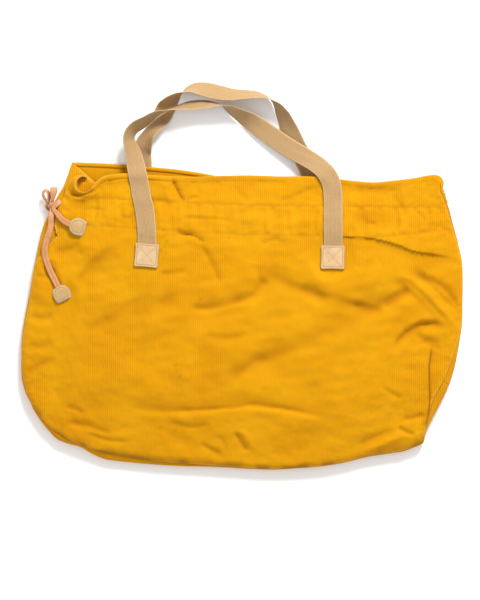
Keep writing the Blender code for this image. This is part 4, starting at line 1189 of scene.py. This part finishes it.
def build_hidden_lace():
    """The lace inside the casing: along the front, round the right end and back along the back."""
    left, right = (corner[0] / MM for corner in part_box("drawcord_run"))
    x = np.linspace(left + 16, right - 12, 40)
    y = np.full_like(x, 92.0)
    front = np.column_stack([x, y, front_height(x, y)[0] - 5.8])
    back_z = float(back_height(92.0)) + 3.4
    bend = [(right - 4, 92, 0.5 * (front[-1, 2] + back_z))]
    back = np.column_stack([x[::-1], y, np.full_like(x, back_z)])
    route = np.vstack([[(left + 2, 112, 15.5)], front, bend, back, [(left + 6, 101, 7.6)]])
    path = smooth_path(route, 460)
    path = np.column_stack([path, np.zeros(len(path))])
    across, rise = strip_section(4.2, 1.0, 11)
    # the strip stands with its breadth along Y
    way = unit_way(path[:, :3])
    side = np.array([0.0, 1.0, 0.0]) - way[:, 1:2] * way
    side /= np.linalg.norm(side, axis=1)[:, None]
    face = np.cross(way, side)
    grid = path[:, None, :3] + side[:, None] * across[None, :, None] + face[:, None] * rise[None, :, None]
    marks, edge = strip_marks(path, across)
    lace = add_surface("casing_lace_strip", grid, LACE_LEATHER, loop=True, caps=True, strip=marks, edge=edge)
    place_piece(lace, ["drawcord_run"])


def build_eyelet_rims():
    """Each metal eyelet: a rolled rim outside and a flat one inside, joined by a barrel."""
    turn = np.linspace(0, 2 * math.pi, 48, endpoint=False)
    bead = np.linspace(0, math.pi, 9)
    outside = [(3.7 + 1.15 * math.cos(t), 1.0 + 0.55 * math.sin(t)) for t in bead]
    inside = [(2.75, -1.3), (3.9, -1.35), (4.0, -1.0), (3.2, -0.95), (3.1, 0.9)]
    profile = np.array(inside + outside + [(2.5, 0.4)])
    for name, half in (("front_eyelet", 1), ("back_eyelet", -1)):
        low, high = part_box(name)
        centre = 0.5 * (np.array(low) + np.array(high)) / MM
        normal = np.array([-0.416, 0.178, half * 0.892])
        normal /= np.linalg.norm(normal)
        first = np.cross(normal, (0.0, 1.0, 0.0))
        first /= np.linalg.norm(first)
        second = np.cross(normal, first)
        out = np.cos(turn)[:, None] * first + np.sin(turn)[:, None] * second
        grid = centre + out[None] * profile[:, None, :1] + normal * profile[:, None, 1:]
        grid = np.concatenate([grid, grid[:1]])
        rim = add_surface(f"{name}_rim", grid, METAL, loop=True)
        place_piece(rim, [name])


SEAM_PITCH = 3.4
SEAM_STITCH = 2.5       # length of one stitch


def sew_seams(name, cloth, lines, radius):
    """Rows of stitches along lines given in plan, each stitch laid on the cloth's upper face."""
    skin = BVHTree.FromObject(cloth, bpy.context.evaluated_depsgraph_get())
    places, ways, ups = [], [], []
    for line in lines:
        for (x, y), way in zip(*stitches_along(np.array(line, dtype=float), SEAM_PITCH)):
            spot, normal = skin.ray_cast(Vector((x * MM, y * MM, 0.1)), Vector((0, 0, -1)))[:2]
            if spot is not None and normal.z > 0.5:
                places.append(np.array(spot) / MM + 0.1 * np.array(normal))
                rise = -(way[0] * normal.x + way[1] * normal.y) / normal.z
                ways.append(np.array([way[0], way[1], rise]))
                ups.append(np.array(normal))
    run = stitch_run(name, np.array(places), np.array(ways), np.array(ups), YELLOW_THREAD,
                     SEAM_STITCH, radius)
    place_piece(run, [])


def sew_cloth(front):
    """The casing's two seams and the front hem's seam."""
    hem = FRONT_HEM[(FRONT_HEM[:, 0] > -214) & (FRONT_HEM[:, 0] < 292) & (FRONT_HEM[:, 1] > 140)]
    hem = np.column_stack([hem[::12, 0], hem[::12, 1] - HEM_SEAM])
    sew_seams("casing_seam_thread", front, [UPPER_SEAM, LOWER_SEAM], 0.24)
    sew_seams("front_hem_thread", front, [hem], 0.22)


build_handle_webbing()
build_patches()
sew_cloth(front_canvas)
build_laces(build_tabs())
build_bow()
build_hidden_lace()
build_eyelet_rims()


# ---- floor, light and camera ----

def build_studio():
    """White floor under the sack, a large soft lamp from the upper right, and an even pale world."""
    step = np.linspace(-6000, 6000, 5)
    x, y = np.meshgrid(step, step)
    paper = bpy.data.materials.new("matt_white_paper")
    paper.use_nodes = True
    tree = paper.node_tree
    shader = tree.nodes["Principled BSDF"]
    shader.inputs["Roughness"].default_value = 0.95
    place = add_node(tree, "TexCoord").outputs["Object"]
    tooth = add_node(tree, "TexNoise", {"Vector": place, "Scale": 9.0, "Detail": 3.0})
    tone = add_node(tree, "Mix", {0: tooth.outputs["Fac"], 6: colour("#FBFBFB"), 7: colour("#FDFDFD")},
                    data_type="RGBA")
    tree.links.new(tone.outputs[2], shader.inputs["Base Color"])
    floor = add_surface("studio_floor", np.stack([x, y, 0 * x - 0.8], axis=-1), paper)

    world = bpy.data.worlds.new("studio")
    world.use_nodes = True
    sky = world.node_tree.nodes["Background"]
    sky.inputs["Color"].default_value = (1.0, 1.0, 1.0, 1.0)
    sky.inputs["Strength"].default_value = 0.82
    bpy.context.scene.world = world
    for name, place, size, power in (("key_lamp", (0.8, 2.3, 2.0), 1.0, 118.0),
                                     ("fill_lamp", (-1.2, -0.6, 2.6), 2.4, 5.0)):
        lamp = bpy.data.lights.new(name, "AREA")
        lamp.shape = "DISK"
        lamp.size = size
        lamp.energy = power
        holder = bpy.data.objects.new(name, lamp)
        holder.location = place
        holder.rotation_euler = (-Vector(place)).to_track_quat("-Z", "Y").to_euler()
        bpy.context.scene.collection.objects.link(holder)


def build_camera():
    """A long lens straight above the sack, with the sack a little above the middle of the view."""
    high, middle = 4.0, 0.02    # heights of the camera and of the sack's middle
    field = 0.946               # what the view spans from bottom to top at the sack's middle
    lens = bpy.data.cameras.new("overhead")
    lens.sensor_fit = "VERTICAL"
    lens.sensor_height = 24.0
    lens.lens = lens.sensor_height * (high - middle) / field
    camera = bpy.data.objects.new("overhead", lens)
    camera.location = (-0.0024, -0.0378, high)
    bpy.context.scene.collection.objects.link(camera)
    bpy.context.scene.camera = camera
    bpy.context.scene.view_settings.view_transform = "Standard"


build_studio()
build_camera()
